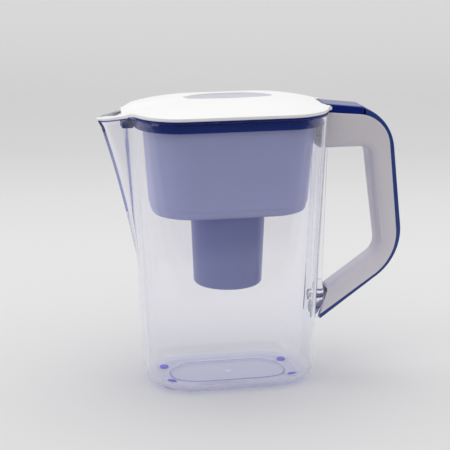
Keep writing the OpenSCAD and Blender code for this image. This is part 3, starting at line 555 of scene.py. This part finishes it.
lid = {
    "overhang": 0.85, "edge": 2.6, "crown": 8.7, "crownPower": 2.7, "thick": 2.0, "gap": 0.5, "edgeRound": 0.7,
    "inlayLength": 74.0, "inlayWidth": 26.0, "inlayThick": 1.0, "inlaySink": 0.8,
    "slotHalf": 6.5, "slotLength": 17.5, "slotMargin": 2.2, "slotRail": 2.2, "railRise": 4.2,
    "lugRadius": 1.7, "knuckle": 1.8, "hingeRise": 1.2, "lugWidth": 3.0, "knuckleWidth": 4.4,
}
handle = {
    "half": 14.0, "wall": 2.4, "reach": 62.3, "depth": 16.1, "low": 100.0, "strip": 3.5, "inset": 1.4,
    "slope": 0.098, "middle": 160.0, "fall": 4.8, "rise": 7.1, "gapRound": 9.0, "flankRound": 5.2,
    "armRound": (12.0, 5.0), "channelRound": 3.0, "upperArm": 150.0,
    "shellBends": (29.0, 43.0), "stripBends": (40.0, 48.0), "gapBends": (9.0, 14.0),
}
lever = {"front": -2.5, "length": 35.6, "plate": 2.0, "lip": 1.25, "lipThick": 0.9, "gap": 0.9,
         "notch": 1.15, "round": 1.3, "rearRound": 3.2, "skin": 1.4}
leverHalf = handle["half"] - handle["inset"]
lidLow = flangeTop + lid["gap"]
lidEdgeTop = lidLow + lid["edge"]
lidApex = lidEdgeTop + lid["crown"]
lidRear = rearX + lid["overhang"]
hingeX, hingeZ = lidRear, lidLow + lid["hingeRise"]
lugFrom = leverHalf + 0.6
knuckleFrom = lugFrom + lid["lugWidth"] + 0.3

hopperBody = makeHopper()
lugs = []
for s in (-1, 1):
    ends = sorted((s * lugFrom, s * (lugFrom + lid["lugWidth"])))
    lugs.append(barrel("lug", lid["lugRadius"], *ends, (hingeX, hingeZ)))
    lugs.append(box("lug", hingeX - lid["lugRadius"] - 1, hingeX + lid["lugRadius"], *ends, flangeLow,
                    hingeZ - 0.3))
combine(hopperBody, lugs, "UNION")
cuts = []
for s in (-1, 1):
    ends = sorted((s * (knuckleFrom - 0.3), s * (knuckleFrom + lid["knuckleWidth"] + 0.3)))
    cuts.append(barrel("cut", lid["knuckle"] + 0.3, *ends, (hingeX, hingeZ)))
cuts.append(box("cut", rearX - jug["wall"] - tray["bandGap"] - 0.05, rearX + 1,
                -leverHalf - 0.3, leverHalf + 0.3,
                flangeLow, flangeTop + 3))
combine(hopperBody, cuts, "DIFFERENCE")
tongueX, tongueLow = jug["wall"] - rearX, bandLow - tray["tongueDrop"]
tongue = box("tongue", tongueX - tray["tongueReach"], tongueX + 1.2, -tray["tongueHalf"], tray["tongueHalf"],
             tongueLow, tongueLow + tray["tongueHeight"], 0.9)
joinPieces(hopperBody, [tongue])
paint(hopperBody, trayBlue, bandPaintedShade, cupPaintedShade)
# Painted shade: the band, its flange and the tongue take the dark navy copy, the cup under the tray takes the
# darker copy
for face in hopperBody.data.polygons:
    if face.center.z > (bandLow - 0.02) * mm or face.center.x < (-rearX + 1.5) * mm:
        face.material_index = 1
    elif face.center.z < (trayLow - 0.2) * mm:
        face.material_index = 2
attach(hopperBody, "hopper")
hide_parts("hopper")
print("hopper:", len(hopperBody.data.polygons), "faces")


# Lid: thin white shell, crowned, drawn out over the spout

lidReach = jug["spoutReach"] + 1.6


def lidOutline(inset):
    return outline(2 * (lidRear - inset), jug["width"] + 2 * (lid["overhang"] - inset),
                   jug["corner"] + lid["overhang"] - inset, lidReach - 1.4 * inset,
                   jug["spoutHalf"] + 1 - 0.5 * inset)


def lidBottom(x):
    return lidLow - (lidLow - jug["height"] - 0.3) * smooth((-x - rearX - 0.9) / 7) - rimDrop(x)


def beakShare(x):
    return smooth((-x - rearX) / jug["spoutReach"])


def lidHigh(x):
    return lidBottom(x) + lid["edge"] - 0.7 * beakShare(x)


def lidTop(p, s):
    edge = lidHigh(p[0])
    crown = edge + (lidApex - edge) * (1 - s ** (lid["crownPower"] + beakShare(p[0])))
    ahead = (-s * p[0] - rearX) / (jug["spoutReach"] + 2.4)
    rail = edge + lid["railRise"] * min(1.0, max(0.0, 1 - ahead)) * (1 - s ** 24)
    return crown + max(0.0, rail - crown) * smooth(ahead * 6)  # flatter across the beak, beside the slot


def oval(length, width, count=96):
    return [(length / 2 * math.cos(2 * math.pi * i / count), width / 2 * math.sin(2 * math.pi * i / count))
            for i in range(count)]


def makeLid():
    outer, inner, turn = lidOutline(0), lidOutline(lid["thick"]), lid["edgeRound"]
    scales = [0.02, 0.1, 0.18, 0.26, 0.34, 0.42, 0.5, 0.57, 0.64, 0.7, 0.76, 0.81, 0.86, 0.9, 0.935, 0.965]
    rings = [[(s * p[0], s * p[1], max(lidBottom(s * p[0]) + 0.6, lidTop(p, s * 0.97) - lid["thick"]))
              for p in inner] for s in scales + [0.985, 1.0]]
    rings += [[(p[0], p[1], lidBottom(p[0]) + 0.3) for p in inner],
              [(p[0], p[1], lidBottom(p[0])) for p in lidOutline(lid["thick"] - 0.3)],
              [(p[0], p[1], lidBottom(p[0])) for p in lidOutline(0.3)],
              [(p[0], p[1], lidBottom(p[0]) + 0.3) for p in outer]]
    for t in steps(5):
        a = math.pi / 2 * t
        rings.append([(p[0], p[1], lidHigh(p[0]) - turn * 0.85 * (1 - math.sin(a)) + 0.12 * t)
                      for p in lidOutline(turn * (1 - math.cos(a)))])
    rings += [[(s * p[0], s * p[1], lidTop(p, s)) for p in outer] for s in reversed(scales)]
    return loft("lidShell", rings, sharp=40.0)


lidShell = makeLid()
inlayTop = lidApex - lid["inlaySink"]
inlayLow = inlayTop - lid["inlayThick"]
added = [prism("seat", oval(lid["inlayLength"] + 3, lid["inlayWidth"] + 3), inlayLow - 1.6, inlayLow + 0.4)]
for s in (-1, 1):
    ends = sorted((s * knuckleFrom, s * (knuckleFrom + lid["knuckleWidth"])))
    added.append(barrel("knuckle", lid["knuckle"], *ends, (hingeX, hingeZ)))
    added.append(box("knuckle", hingeX - 3, hingeX, *ends, lidLow, lidLow + 1.5))
combine(lidShell, added, "UNION")
leverX = rearX + lever["front"]
noseLow = flangeTop + 0.3
slotTip = -lidRear - lidReach + lid["slotMargin"]
slotEnd = slotTip + lid["slotLength"]


def slotWidth(x):
    share, e = min(1.0, max(0.0, (-x - lidRear) / lidReach)), jug["spoutTip"]
    top = math.sqrt(1 + e * e)
    t = math.sqrt(max(0.0, (top - share ** (1 / jug["spoutFlare"]) * (top - e)) ** 2 - e * e))
    return max(0.9, min(lid["slotHalf"] + 1.5, (jug["spoutHalf"] + 1) * t - lid["slotRail"]))


slotRun = [slotTip + 1.2 + (slotEnd - slotTip - 1.8) * t for t in steps(14)]
slotSide = [(x, slotWidth(x)) for x in slotRun]
slotShape = [(slotTip + 0.3, 0.5), (slotTip, 0.0), (slotTip + 0.3, -0.5)] + [(x, -y) for x, y in slotSide]
slotShape += [(slotEnd, -slotSide[-1][1] + 0.6), (slotEnd, slotSide[-1][1] - 0.6)] + slotSide[::-1]
cuts = [prism("cut", oval(lid["inlayLength"] + 0.1, lid["inlayWidth"] + 0.1), inlayLow, inlayLow + 10),
        prism("cut", slotShape, jug["height"] - 20, jug["height"] + 20),
        box("cut", leverX - lever["lip"] - 0.4, lidRear + 1, -leverHalf - 0.3, leverHalf + 0.3, lidLow - 1,
            noseLow + lever["lipThick"] + 0.4),
        box("cut", leverX - lever["notch"], lidRear + 1, -leverHalf - 0.3, leverHalf + 0.3, lidLow - 1.1,
            lidApex)]
for s in (-1, 1):
    ends = sorted((s * (lugFrom - 0.3), s * (lugFrom + lid["lugWidth"] + 0.3)))
    cuts.append(barrel("cut", lid["lugRadius"] + 0.3, *ends, (hingeX, hingeZ)))
    cuts.append(box("cut", hingeX - lid["lugRadius"] - 1.3, lidRear + 1.2, *ends, lidLow - 1.2, hingeZ))
combine(lidShell, cuts, "DIFFERENCE", sharp=40.0)
paint(lidShell, whiteAbs)
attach(lidShell, "lid")
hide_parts("lid_shell")

inlayEdge = ((0.0, inlayLow + 0.05), (0.0, inlayTop - 0.25), (0.15, inlayTop - 0.08), (0.5, inlayTop),
             (3.0, inlayTop))
inlay = loft("lidInlay", [level(oval(lid["inlayLength"] - less, lid["inlayWidth"] - less), z)
                          for less, z in inlayEdge])
paint(inlay, inlayAbs)
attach(inlay, "lid")
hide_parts("lid_inlay")
print("lid:", len(lidShell.data.polygons), "faces")


# Handle: white shell, navy strip along its back, thumb lever on top

def backX(z):
    return rearX + handle["reach"] - handle["strip"] + (handle["middle"] - z) * handle["slope"]


shellTop = jug["height"] - 6.5
shellFront = shellTop + handle["fall"]
lugMid = lug["low"] + lug["middle"]
gapEndX = wallX(lugMid) + lug["reach"] + 4
gapLow = handle["low"] + 7
cornerTop, cornerLow = (backX(shellTop), shellTop), (backX(handle["low"]), handle["low"])
endLow = (wallX(lug["low"]) + 5, lug["low"] + 2)
gapCornerTop = (backX(gapTop) - handle["depth"] - 1.2, gapTop)
gapCornerLow = (backX(gapLow) - handle["depth"], gapLow)
gapEnd = (gapEndX, gapLow - (gapCornerLow[0] - gapEndX) * 0.711)
stripTop = (cornerTop[0] + handle["strip"] - 0.2, cornerTop[1] + handle["strip"] + 1.9)
stripLow = (cornerLow[0] + handle["strip"] + 1.1, cornerLow[1] + 0.1)
stripEnd = (endLow[0] + 0.6, endLow[1] - 4.4)
stripFront = (rearX, shellFront + handle["rise"])


# Path through two rounded corners, with as many points on each stretch whatever its shape.
def bentPath(start, first, second, end, bends, counts=(12, 18, 14, 18, 16)):
    upper = rounded(start, first, second, bends[0], counts[1])
    lower = rounded(first, second, end, bends[1], counts[3])
    path = [mix(start, upper[0], t) for t in steps(counts[0])[:-1]] + upper
    path += [mix(upper[-1], lower[0], t) for t in steps(counts[2])[1:-1]] + lower
    return path + [mix(lower[-1], end, t) for t in steps(counts[4])[1:]]


shellBack = bentPath((wallX(shellFront) + 0.05, shellFront), cornerTop, cornerLow, endLow, handle["shellBends"])
gapSide = bentPath((wallX(gapTop) + 0.05, gapTop), gapCornerTop, gapCornerLow, gapEnd, handle["gapBends"])
stripBack = bentPath(stripFront, stripTop, stripLow, stripEnd, handle["stripBends"])


# Skin through the section that each pair of points carries: section gives (share or depth, width).
def sweep(name, inner, outer, section, sharp=35.0):
    rings = []
    for k, (p, q) in enumerate(zip(inner, outer)):
        depth = math.dist(p, q)
        way = ((q[0] - p[0]) / depth, (q[1] - p[1]) / depth)
        rings.append([(p[0] + way[0] * u, y, p[1] + way[1] * u) for u, y in section(k, depth, p, q)])
    return loft(name, rings, sharp=sharp)


def shellSection(k, depth, p, q):
    half, wall, across, down = handle["half"], handle["wall"], handle["flankRound"], handle["gapRound"]
    channel = half - wall
    underLever = q[0] < stripStart and q[1] > handle["upperArm"]
    seat = half - handle["inset"] + 0.3 if underLever else channel
    share = smooth((k - 30) / 16)  # the lower arm is the rounder one
    down, across = down + handle["armRound"][0] * share, across + handle["armRound"][1] * share
    down = min(down, depth - 1.5)
    near = [(down * (1 - math.sin(a)), half - across * (1 - math.cos(a))) for a in quarter(12)]
    lip = [(depth, seat + 0.25), (depth, half - 0.25), (depth - 0.25, half)]
    turn = handle["channelRound"]
    floor = [(wall + turn * (1 - math.sin(a)), channel - turn * (1 - math.cos(a))) for a in quarter(4)]
    groove = [(depth - 8.0, channel), (depth - 8.0, seat), (depth - 0.25, seat)]
    right = lip + near
    left = [(u, -y) for u, y in reversed(right)]
    back = [(u, -y) for u, y in reversed(groove)] + [(u, -y) for u, y in floor]
    return right + left + back + [(u, y) for u, y in reversed(floor)] + groove


stripStart = leverX + lever["length"] + lever["gap"]
shell = sweep("handleShell", gapSide, shellBack, shellSection)
paint(shell, shellAbs)
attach(shell, "jug")
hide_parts("handle_shell")


def stripSection(k, depth, p, q):
    half, turn = leverHalf, min(1.1, depth * 0.4)
    edge = [(depth - turn * (1 - math.sin(a)), half - turn * (1 - math.cos(a))) for a in quarter(4)]
    return [(0.0, half)] + edge + [(u, -y) for u, y in reversed(edge)] + [(0.0, -half)]


# The rest of a path from where it first passes X, starting with that point.
def pathFrom(path, x):
    for k in range(len(path) - 1):
        if path[k][0] <= x < path[k + 1][0]:
            t = (x - path[k][0]) / (path[k + 1][0] - path[k][0])
            return [mix(path[k], path[k + 1], t)] + path[k + 1:]
    return path


outerRun, innerRun = pathFrom(stripBack, stripStart), pathFrom(shellBack, stripStart)
while len(innerRun) < len(outerRun):
    innerRun.insert(1, mix(innerRun[0], innerRun[1], 0.5))
while len(outerRun) < len(innerRun):
    outerRun.insert(1, mix(outerRun[0], outerRun[1], 0.5))
strip = sweep("handleStrip", innerRun, outerRun, stripSection)
paint(strip, stripAbs)
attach(strip, "jug")
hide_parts("handle_strip")
print("handle:", len(shell.data.polygons), "faces")


def leverTop(x):
    return stripFront[1] - 0.116 * (x - rearX)


def leverLow(x):
    return max(shellFront - 6.0, shellFront + 0.3 - 12 * smooth((x - rearX - 2.8) / 0.5))


# A straight-topped cap with rounded rear corners; its nose reaches over the flange to the lid
def makeLever():
    start, end, half, turn = leverX, leverX + lever["length"], leverHalf, lever["round"]

    def plan(inset, rear):
        corners = [(start + inset, -half + inset), (end - inset, -half + inset), (end - inset, half - inset),
                   (start + inset, half - inset)]
        points = []
        for i, radius in enumerate((0.6, rear, rear, 0.6)):
            bend = max(0.3, radius - inset * 0.6)
            points += rounded(corners[i - 1], corners[i], corners[(i + 1) % 4], bend, 8)
            if i in (0, 2):
                last, ahead = points[-1], corners[i + 1] if i == 0 else corners[3]
                reach = (lever["length"] - 0.6 - rear) * (1 if i == 0 else -1)
                points += [(last[0] + reach * t, last[1]) for t in steps(30)[1:-1]]
        return points

    def lowAt(x):
        return noseLow + (leverLow(x) - noseLow) * smooth((x - rearX - 0.6) / 0.4)

    rings = [[(x, y, lowAt(x)) for x, y in plan(0.6, lever["rearRound"])],
             [(x, y, lowAt(x) + 0.3) for x, y in plan(0.0, lever["rearRound"])]]
    for t in steps(6):
        a = math.pi / 2 * t
        rings.append([(x, y, leverTop(x) - turn * (1 - math.sin(a)))
                      for x, y in plan(turn * (1 - math.cos(a)), lever["rearRound"])])
    rings.append([(x, y, leverTop(x)) for x, y in plan(turn + 1.5, lever["rearRound"] + 1)])
    cap = loft("leverCap", rings)
    hollow = prism("hollow", [(rearX + 4.6, shellFront - 9), (end - lever["skin"], shellFront - 9),
                              (end - lever["skin"], leverTop(end) - lever["plate"]),
                              (rearX + 4.6, leverTop(rearX + 4.6) - lever["plate"])],
                   -half + lever["skin"], half - lever["skin"], "y")
    combine(cap, [hollow], "DIFFERENCE")
    lip = box("lip", start - lever["lip"], start + 0.8, -half + 0.2, half - 0.2, noseLow,
              noseLow + lever["lipThick"], 0.3)
    return joinPieces(cap, [lip])


leverCap = makeLever()
paint(leverCap, navyAbs)
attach(leverCap, "lever")
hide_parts("thumb_lever")


# Small pieces that repeat: one shape, set out by Geometry Nodes along one step and then along another
def makeRepeater():
    tree = bpy.data.node_groups.new("repeatPiece", "GeometryNodeTree")
    for label, kind in (("Piece", "NodeSocketObject"), ("First", "NodeSocketVector"), ("Count", "NodeSocketInt"),
                        ("Step", "NodeSocketVector"), ("Rows", "NodeSocketInt"), ("Row Step", "NodeSocketVector"),
                        ("Finish", "NodeSocketMaterial")):
        tree.interface.new_socket(label, in_out="INPUT", socket_type=kind)
    tree.interface.new_socket("Geometry", in_out="OUTPUT", socket_type="NodeSocketGeometry")
    given = addNode(tree, "NodeGroupInput").outputs
    shape = addNode(tree, "GeometryNodeObjectInfo", {}, {"Object": given["Piece"]})
    line = addNode(tree, "GeometryNodeMeshLine", {}, {"Count": given["Count"], "Start Location": given["First"],
                                                      "Offset": given["Step"]})
    row = addNode(tree, "GeometryNodeInstanceOnPoints", {}, {"Points": line.outputs["Mesh"],
                                                             "Instance": shape.outputs["Geometry"]})
    rows = addNode(tree, "GeometryNodeMeshLine", {}, {"Count": given["Rows"], "Offset": given["Row Step"]})
    every = addNode(tree, "GeometryNodeInstanceOnPoints", {}, {"Points": rows.outputs["Mesh"],
                                                               "Instance": row.outputs["Instances"]})
    real = addNode(tree, "GeometryNodeRealizeInstances", {}, {"Geometry": every.outputs["Instances"]})
    finish = addNode(tree, "GeometryNodeSetMaterial", {},
                     {"Geometry": real.outputs[0], "Material": given["Finish"]})
    addNode(tree, "NodeGroupOutput", {}, {"Geometry": finish.outputs[0]})
    return tree


def grow(name, tree, values):
    obj = bpy.data.objects.new(name, bpy.data.meshes.new(name))
    scene.collection.objects.link(obj)
    step = obj.modifiers.new("grow", "NODES")
    step.node_group = tree
    for socket in tree.interface.items_tree:
        if socket.in_out == "INPUT":
            step[socket.identifier] = values[socket.name]
    bake(obj)
    for value in values.values():
        if isinstance(value, bpy.types.Object):
            bpy.data.objects.remove(value)
    return finishMesh(obj)


# Solid of revolution about Z through (radius, level) pairs.
def turned(name, profile, sides=40):
    return loft(name, [level(ringOf(r, sides), z) for r, z in profile])


repeater = makeRepeater()
padWide, padRound = foot["radius"], foot["round"]
padShape = turned("padShape", [
    (padWide - padRound - 0.6, 0.0), (padWide - padRound, 0.05), (padWide - 0.12, padRound - 0.1),
    (padWide, padRound + 0.2), (padWide, footHigh - 0.3), (padWide - 0.3, footHigh)])
pads = grow("footPads", repeater, {
    "Piece": padShape, "First": Vector((-foot["x"], -foot["y"], 0)) * mm, "Count": 2,
    "Step": (2 * foot["x"] * mm, 0, 0), "Rows": 2, "Row Step": (0, 2 * foot["y"] * mm, 0), "Finish": padBlue})
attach(pads, "jug")
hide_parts("base_feet")

# Turned screws with a rounded head and a six-sided drive, lying along X
shank, head = screw["radius"], screw["head"]
screwShape = turned("screwShape", [
    (0.5, -screw["length"]), (shank, 1.2 - screw["length"]), (shank, -0.3), (shank + 0.3, 0.0), (head, 0.0),
    (head, 1.3), (head - 0.5, 1.9), (head - 1.2, 2.2)])
combine(screwShape, [prism("drive", ringOf(screw["headDrive"], 6), 1.0, 3.0)], "DIFFERENCE")
screwShape.data.transform(Matrix.Rotation(math.pi / 2, 4, "Y"))
lowSeat = Vector((wallX(lugMid) + lug["reach"] + handle["wall"] + 0.65, 0, lowerScrewZ)) * mm
highSeat = Vector((rearX + screw["bossLength"] + 1.65, 0, upperScrewZ)) * mm
screws = grow("handleScrews", repeater, {
    "Piece": screwShape, "First": lowSeat, "Count": 2, "Step": highSeat - lowSeat, "Rows": 1,
    "Row Step": (0, 0, 0), "Finish": steel})
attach(screws, "jug")
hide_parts("handle_screws")
print("pads and screws set out")

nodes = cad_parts
for name, material in (("lever_pin", steel), ("lever_spring", steel),
                       ("hinge_pins", steel), ("cartridge_shell", filterWhite), ("cartridge_cap", filterWhite),
                       ("cartridge_seal", sealGrey), ("inlet_screen", meshGrey), ("outlet_screen", meshGrey),
                       ("carbon_bed", carbonBlack), ("resin_bed", resinGold)):
    paint(nodes[name], material)


# Stage: a pale floor, soft light from above, the camera of the photograph

stage = {
    "nearEdge": -3.0, "frontEdge": -0.40, "farEdge": 7.0, "halfWidth": 5.0, "turn": -11.7,
    "nearSlope": 0.42, "farSlope": 0.10,
    "horizon": 0.36, "zenith": 1.18, "around": 0.80, "front": 0.04,
    "frontShade": "4a4a4a",
    "camera": (-0.2692, -1.2899, 0.4671), "target": (-0.00212, 0.0, 0.1317), "lens": 130.23,
    # painted light and shade: the backdrop's lighter band and darker bands, set by the slope seen from the camera
    "paintedShades": ((0.0, "dbdbdb"), (0.149, "dbdbdb"), (0.256, "dddddd"), (0.362, "dfdfdf"), (0.465, "dfdfdf"),
               (0.568, "dbdbdb"), (0.668, "d1d1d1"), (0.767, "d0d0d0"), (0.865, "dadada"), (0.951, "e1e1e1")),
}


# Two marks: what the camera sees, directly or through clear plastic, and light no matt surface has turned yet
def seenRay(tree, path):
    first = addNode(tree, "ShaderNodeMath", {1: 0.5}, {0: path.outputs["Diffuse Depth"]},
                    operation="LESS_THAN")
    seen = addNode(tree, "ShaderNodeMath", {}, {0: path.outputs["Is Camera Ray"],
                                                1: path.outputs["Is Transmission Ray"]}, operation="MAXIMUM")
    seen = addNode(tree, "ShaderNodeMath", {}, {0: seen.outputs[0], 1: first.outputs[0]},
                   operation="MULTIPLY")
    return seen, first


# Matt paper sweep: its far part is shaded like the photo's backdrop, its front gives back less light than
# it shows
def makeFloor():
    turn, wide = math.radians(stage["turn"]), stage["halfWidth"]
    near, far, c, s = stage["nearEdge"], stage["farEdge"], math.cos(turn), math.sin(turn)
    square = ((-wide, near), (wide, near), (wide, far), (-wide, far))
    corners = [((x * c - y * s) / mm, (x * s + y * c) / mm, 0) for x, y in square]
    floor = newObject("floor", corners, [(0, 1, 2, 3)])
    if floor.data.polygons[0].normal.z < 0:
        floor.data.flip_normals()
    material, tree = newMaterial("paleBackdropPaper")
    place = addNode(tree, "ShaderNodeTexCoord")
    facing = addNode(tree, "ShaderNodeMapping", {"Rotation": (0.0, 0.0, -turn)},
                     {"Vector": place.outputs["Object"]})
    parts = addNode(tree, "ShaderNodeSeparateXYZ", {}, {0: facing.outputs[0]})
    eye = stage["camera"]  # the shades go by the slope at which this fixed place looks down on the paper
    away = addNode(tree, "ShaderNodeMath", {1: math.hypot(eye[0], eye[1])}, {0: parts.outputs["Y"]},
                   operation="ADD")
    apart = addNode(tree, "ShaderNodeMath", {}, {0: away.outputs[0]}, operation="ABSOLUTE")
    slope = addNode(tree, "ShaderNodeMath", {0: eye[2]}, {1: apart.outputs[0]}, operation="DIVIDE")
    ramp = addNode(tree, "ShaderNodeValToRGB")
    spread = addNode(tree, "ShaderNodeMapRange",
                     {"From Min": stage["nearSlope"], "From Max": stage["farSlope"]},
                     {"Value": slope.outputs[0]})
    tree.links.new(spread.outputs[0], ramp.inputs[0])
    paintedShades = stage["paintedShades"]
    while len(ramp.color_ramp.elements) < len(paintedShades):
        ramp.color_ramp.elements.new(0.5)
    for element, (at, shade) in zip(ramp.color_ramp.elements, paintedShades):
        element.position, element.color = at, srgb(shade)
    path = addNode(tree, "ShaderNodeLightPath")
    seen, first = seenRay(tree, path)
    front = stage["frontEdge"]
    beside = addNode(tree, "ShaderNodeMapRange", {"From Min": front - 0.06, "From Max": front},
                     {"Value": parts.outputs["Y"]})
    shown = addNode(tree, "ShaderNodeMath", {}, {0: beside.outputs[0], 1: seen.outputs[0]},
                    operation="MAXIMUM")
    tone = addNode(tree, "ShaderNodeMix", {}, {0: shown.outputs[0], 7: ramp.outputs[0]}, data_type="RGBA")
    tone.inputs[6].default_value = srgb(stage["frontShade"])
    shader = addNode(tree, "ShaderNodeBsdfPrincipled", {"Roughness": 0.8, "Specular IOR Level": 0.1},
                     {"Base Color": tone.outputs[2]})
    addNode(tree, "ShaderNodeOutputMaterial", {}, {"Surface": shader.outputs[0]})
    paint(floor, material)
    return floor


# Soft light from all round, stronger from above; mirrored, the room is dark on the -Y side
def makeWorld():
    world = bpy.data.worlds.new("softRoom")
    scene.world = world
    world.use_nodes = True
    tree = world.node_tree
    tree.nodes.clear()
    path = addNode(tree, "ShaderNodeLightPath")
    place = addNode(tree, "ShaderNodeTexCoord")
    parts = addNode(tree, "ShaderNodeSeparateXYZ", {}, {0: place.outputs["Generated"]})
    lifted = addNode(tree, "ShaderNodeMapRange", {"To Min": stage["horizon"], "To Max": stage["zenith"]},
                     {"Value": parts.outputs["Z"]})
    side = addNode(tree, "ShaderNodeMapRange",
                   {"From Min": -0.35, "From Max": 0.25, "To Min": stage["front"], "To Max": stage["around"]},
                   {"Value": parts.outputs["Y"]}, interpolation_type="SMOOTHSTEP")
    above = addNode(tree, "ShaderNodeMapRange", {"From Min": 0.45, "From Max": 0.95, "To Min": 0.0,
                                                 "To Max": stage["around"]},
                    {"Value": parts.outputs["Z"]}, interpolation_type="SMOOTHSTEP")
    mirrored = addNode(tree, "ShaderNodeMath", {}, {0: side.outputs[0], 1: above.outputs[0]},
                       operation="MAXIMUM")
    clearRay, first = seenRay(tree, path)
    mirrorRay = addNode(tree, "ShaderNodeMath", {},
                        {0: path.outputs["Is Reflection Ray"], 1: first.outputs[0]}, operation="MULTIPLY")
    even = addNode(tree, "ShaderNodeBackground", {"Color": (1, 1, 1, 1)}, {"Strength": lifted.outputs[0]})
    plain = addNode(tree, "ShaderNodeBackground", {"Color": (1, 1, 1, 1), "Strength": stage["around"]})
    sided = addNode(tree, "ShaderNodeBackground", {"Color": (1, 1, 1, 1)}, {"Strength": mirrored.outputs[0]})
    both = addNode(tree, "ShaderNodeMixShader", {},
                   {0: clearRay.outputs[0], 1: even.outputs[0], 2: plain.outputs[0]})
    both = addNode(tree, "ShaderNodeMixShader", {},
                   {0: mirrorRay.outputs[0], 1: both.outputs[0], 2: sided.outputs[0]})
    addNode(tree, "ShaderNodeOutputWorld", {}, {"Surface": both.outputs[0]})


def addLamp(name, place, aim, size, power):
    data = bpy.data.lights.new(name, "AREA")
    data.shape, data.energy = "RECTANGLE", power
    data.size, data.size_y = size
    lamp = bpy.data.objects.new(name, data)
    lamp.location = place
    lamp.rotation_mode = "QUATERNION"
    lamp.rotation_quaternion = (Vector(aim) - Vector(place)).to_track_quat("-Z", "Y")
    scene.collection.objects.link(lamp)
    return lamp


makeFloor()
makeWorld()
addLamp("overheadSoftbox", (0.2, 0.3, 1.7), (0.0, 0.0, 0.1), (1.8, 1.4), 6.0)
addLamp("leftStrip", (-1.5, -0.5, 0.35), (0.0, 0.0, 0.12), (0.5, 1.2), 3.5)
cameraData = bpy.data.cameras.new("camera")
cameraData.lens, cameraData.sensor_width = stage["lens"], 36.0
camera = bpy.data.objects.new("camera", cameraData)
camera.location = stage["camera"]
camera.rotation_mode = "QUATERNION"
camera.rotation_quaternion = (Vector(stage["target"]) - Vector(stage["camera"])).to_track_quat("-Z", "Y")
scene.collection.objects.link(camera)
scene.camera = camera
scene.view_settings.view_transform = "Standard"
print("stage ready")

bpy.context.view_layer.update()
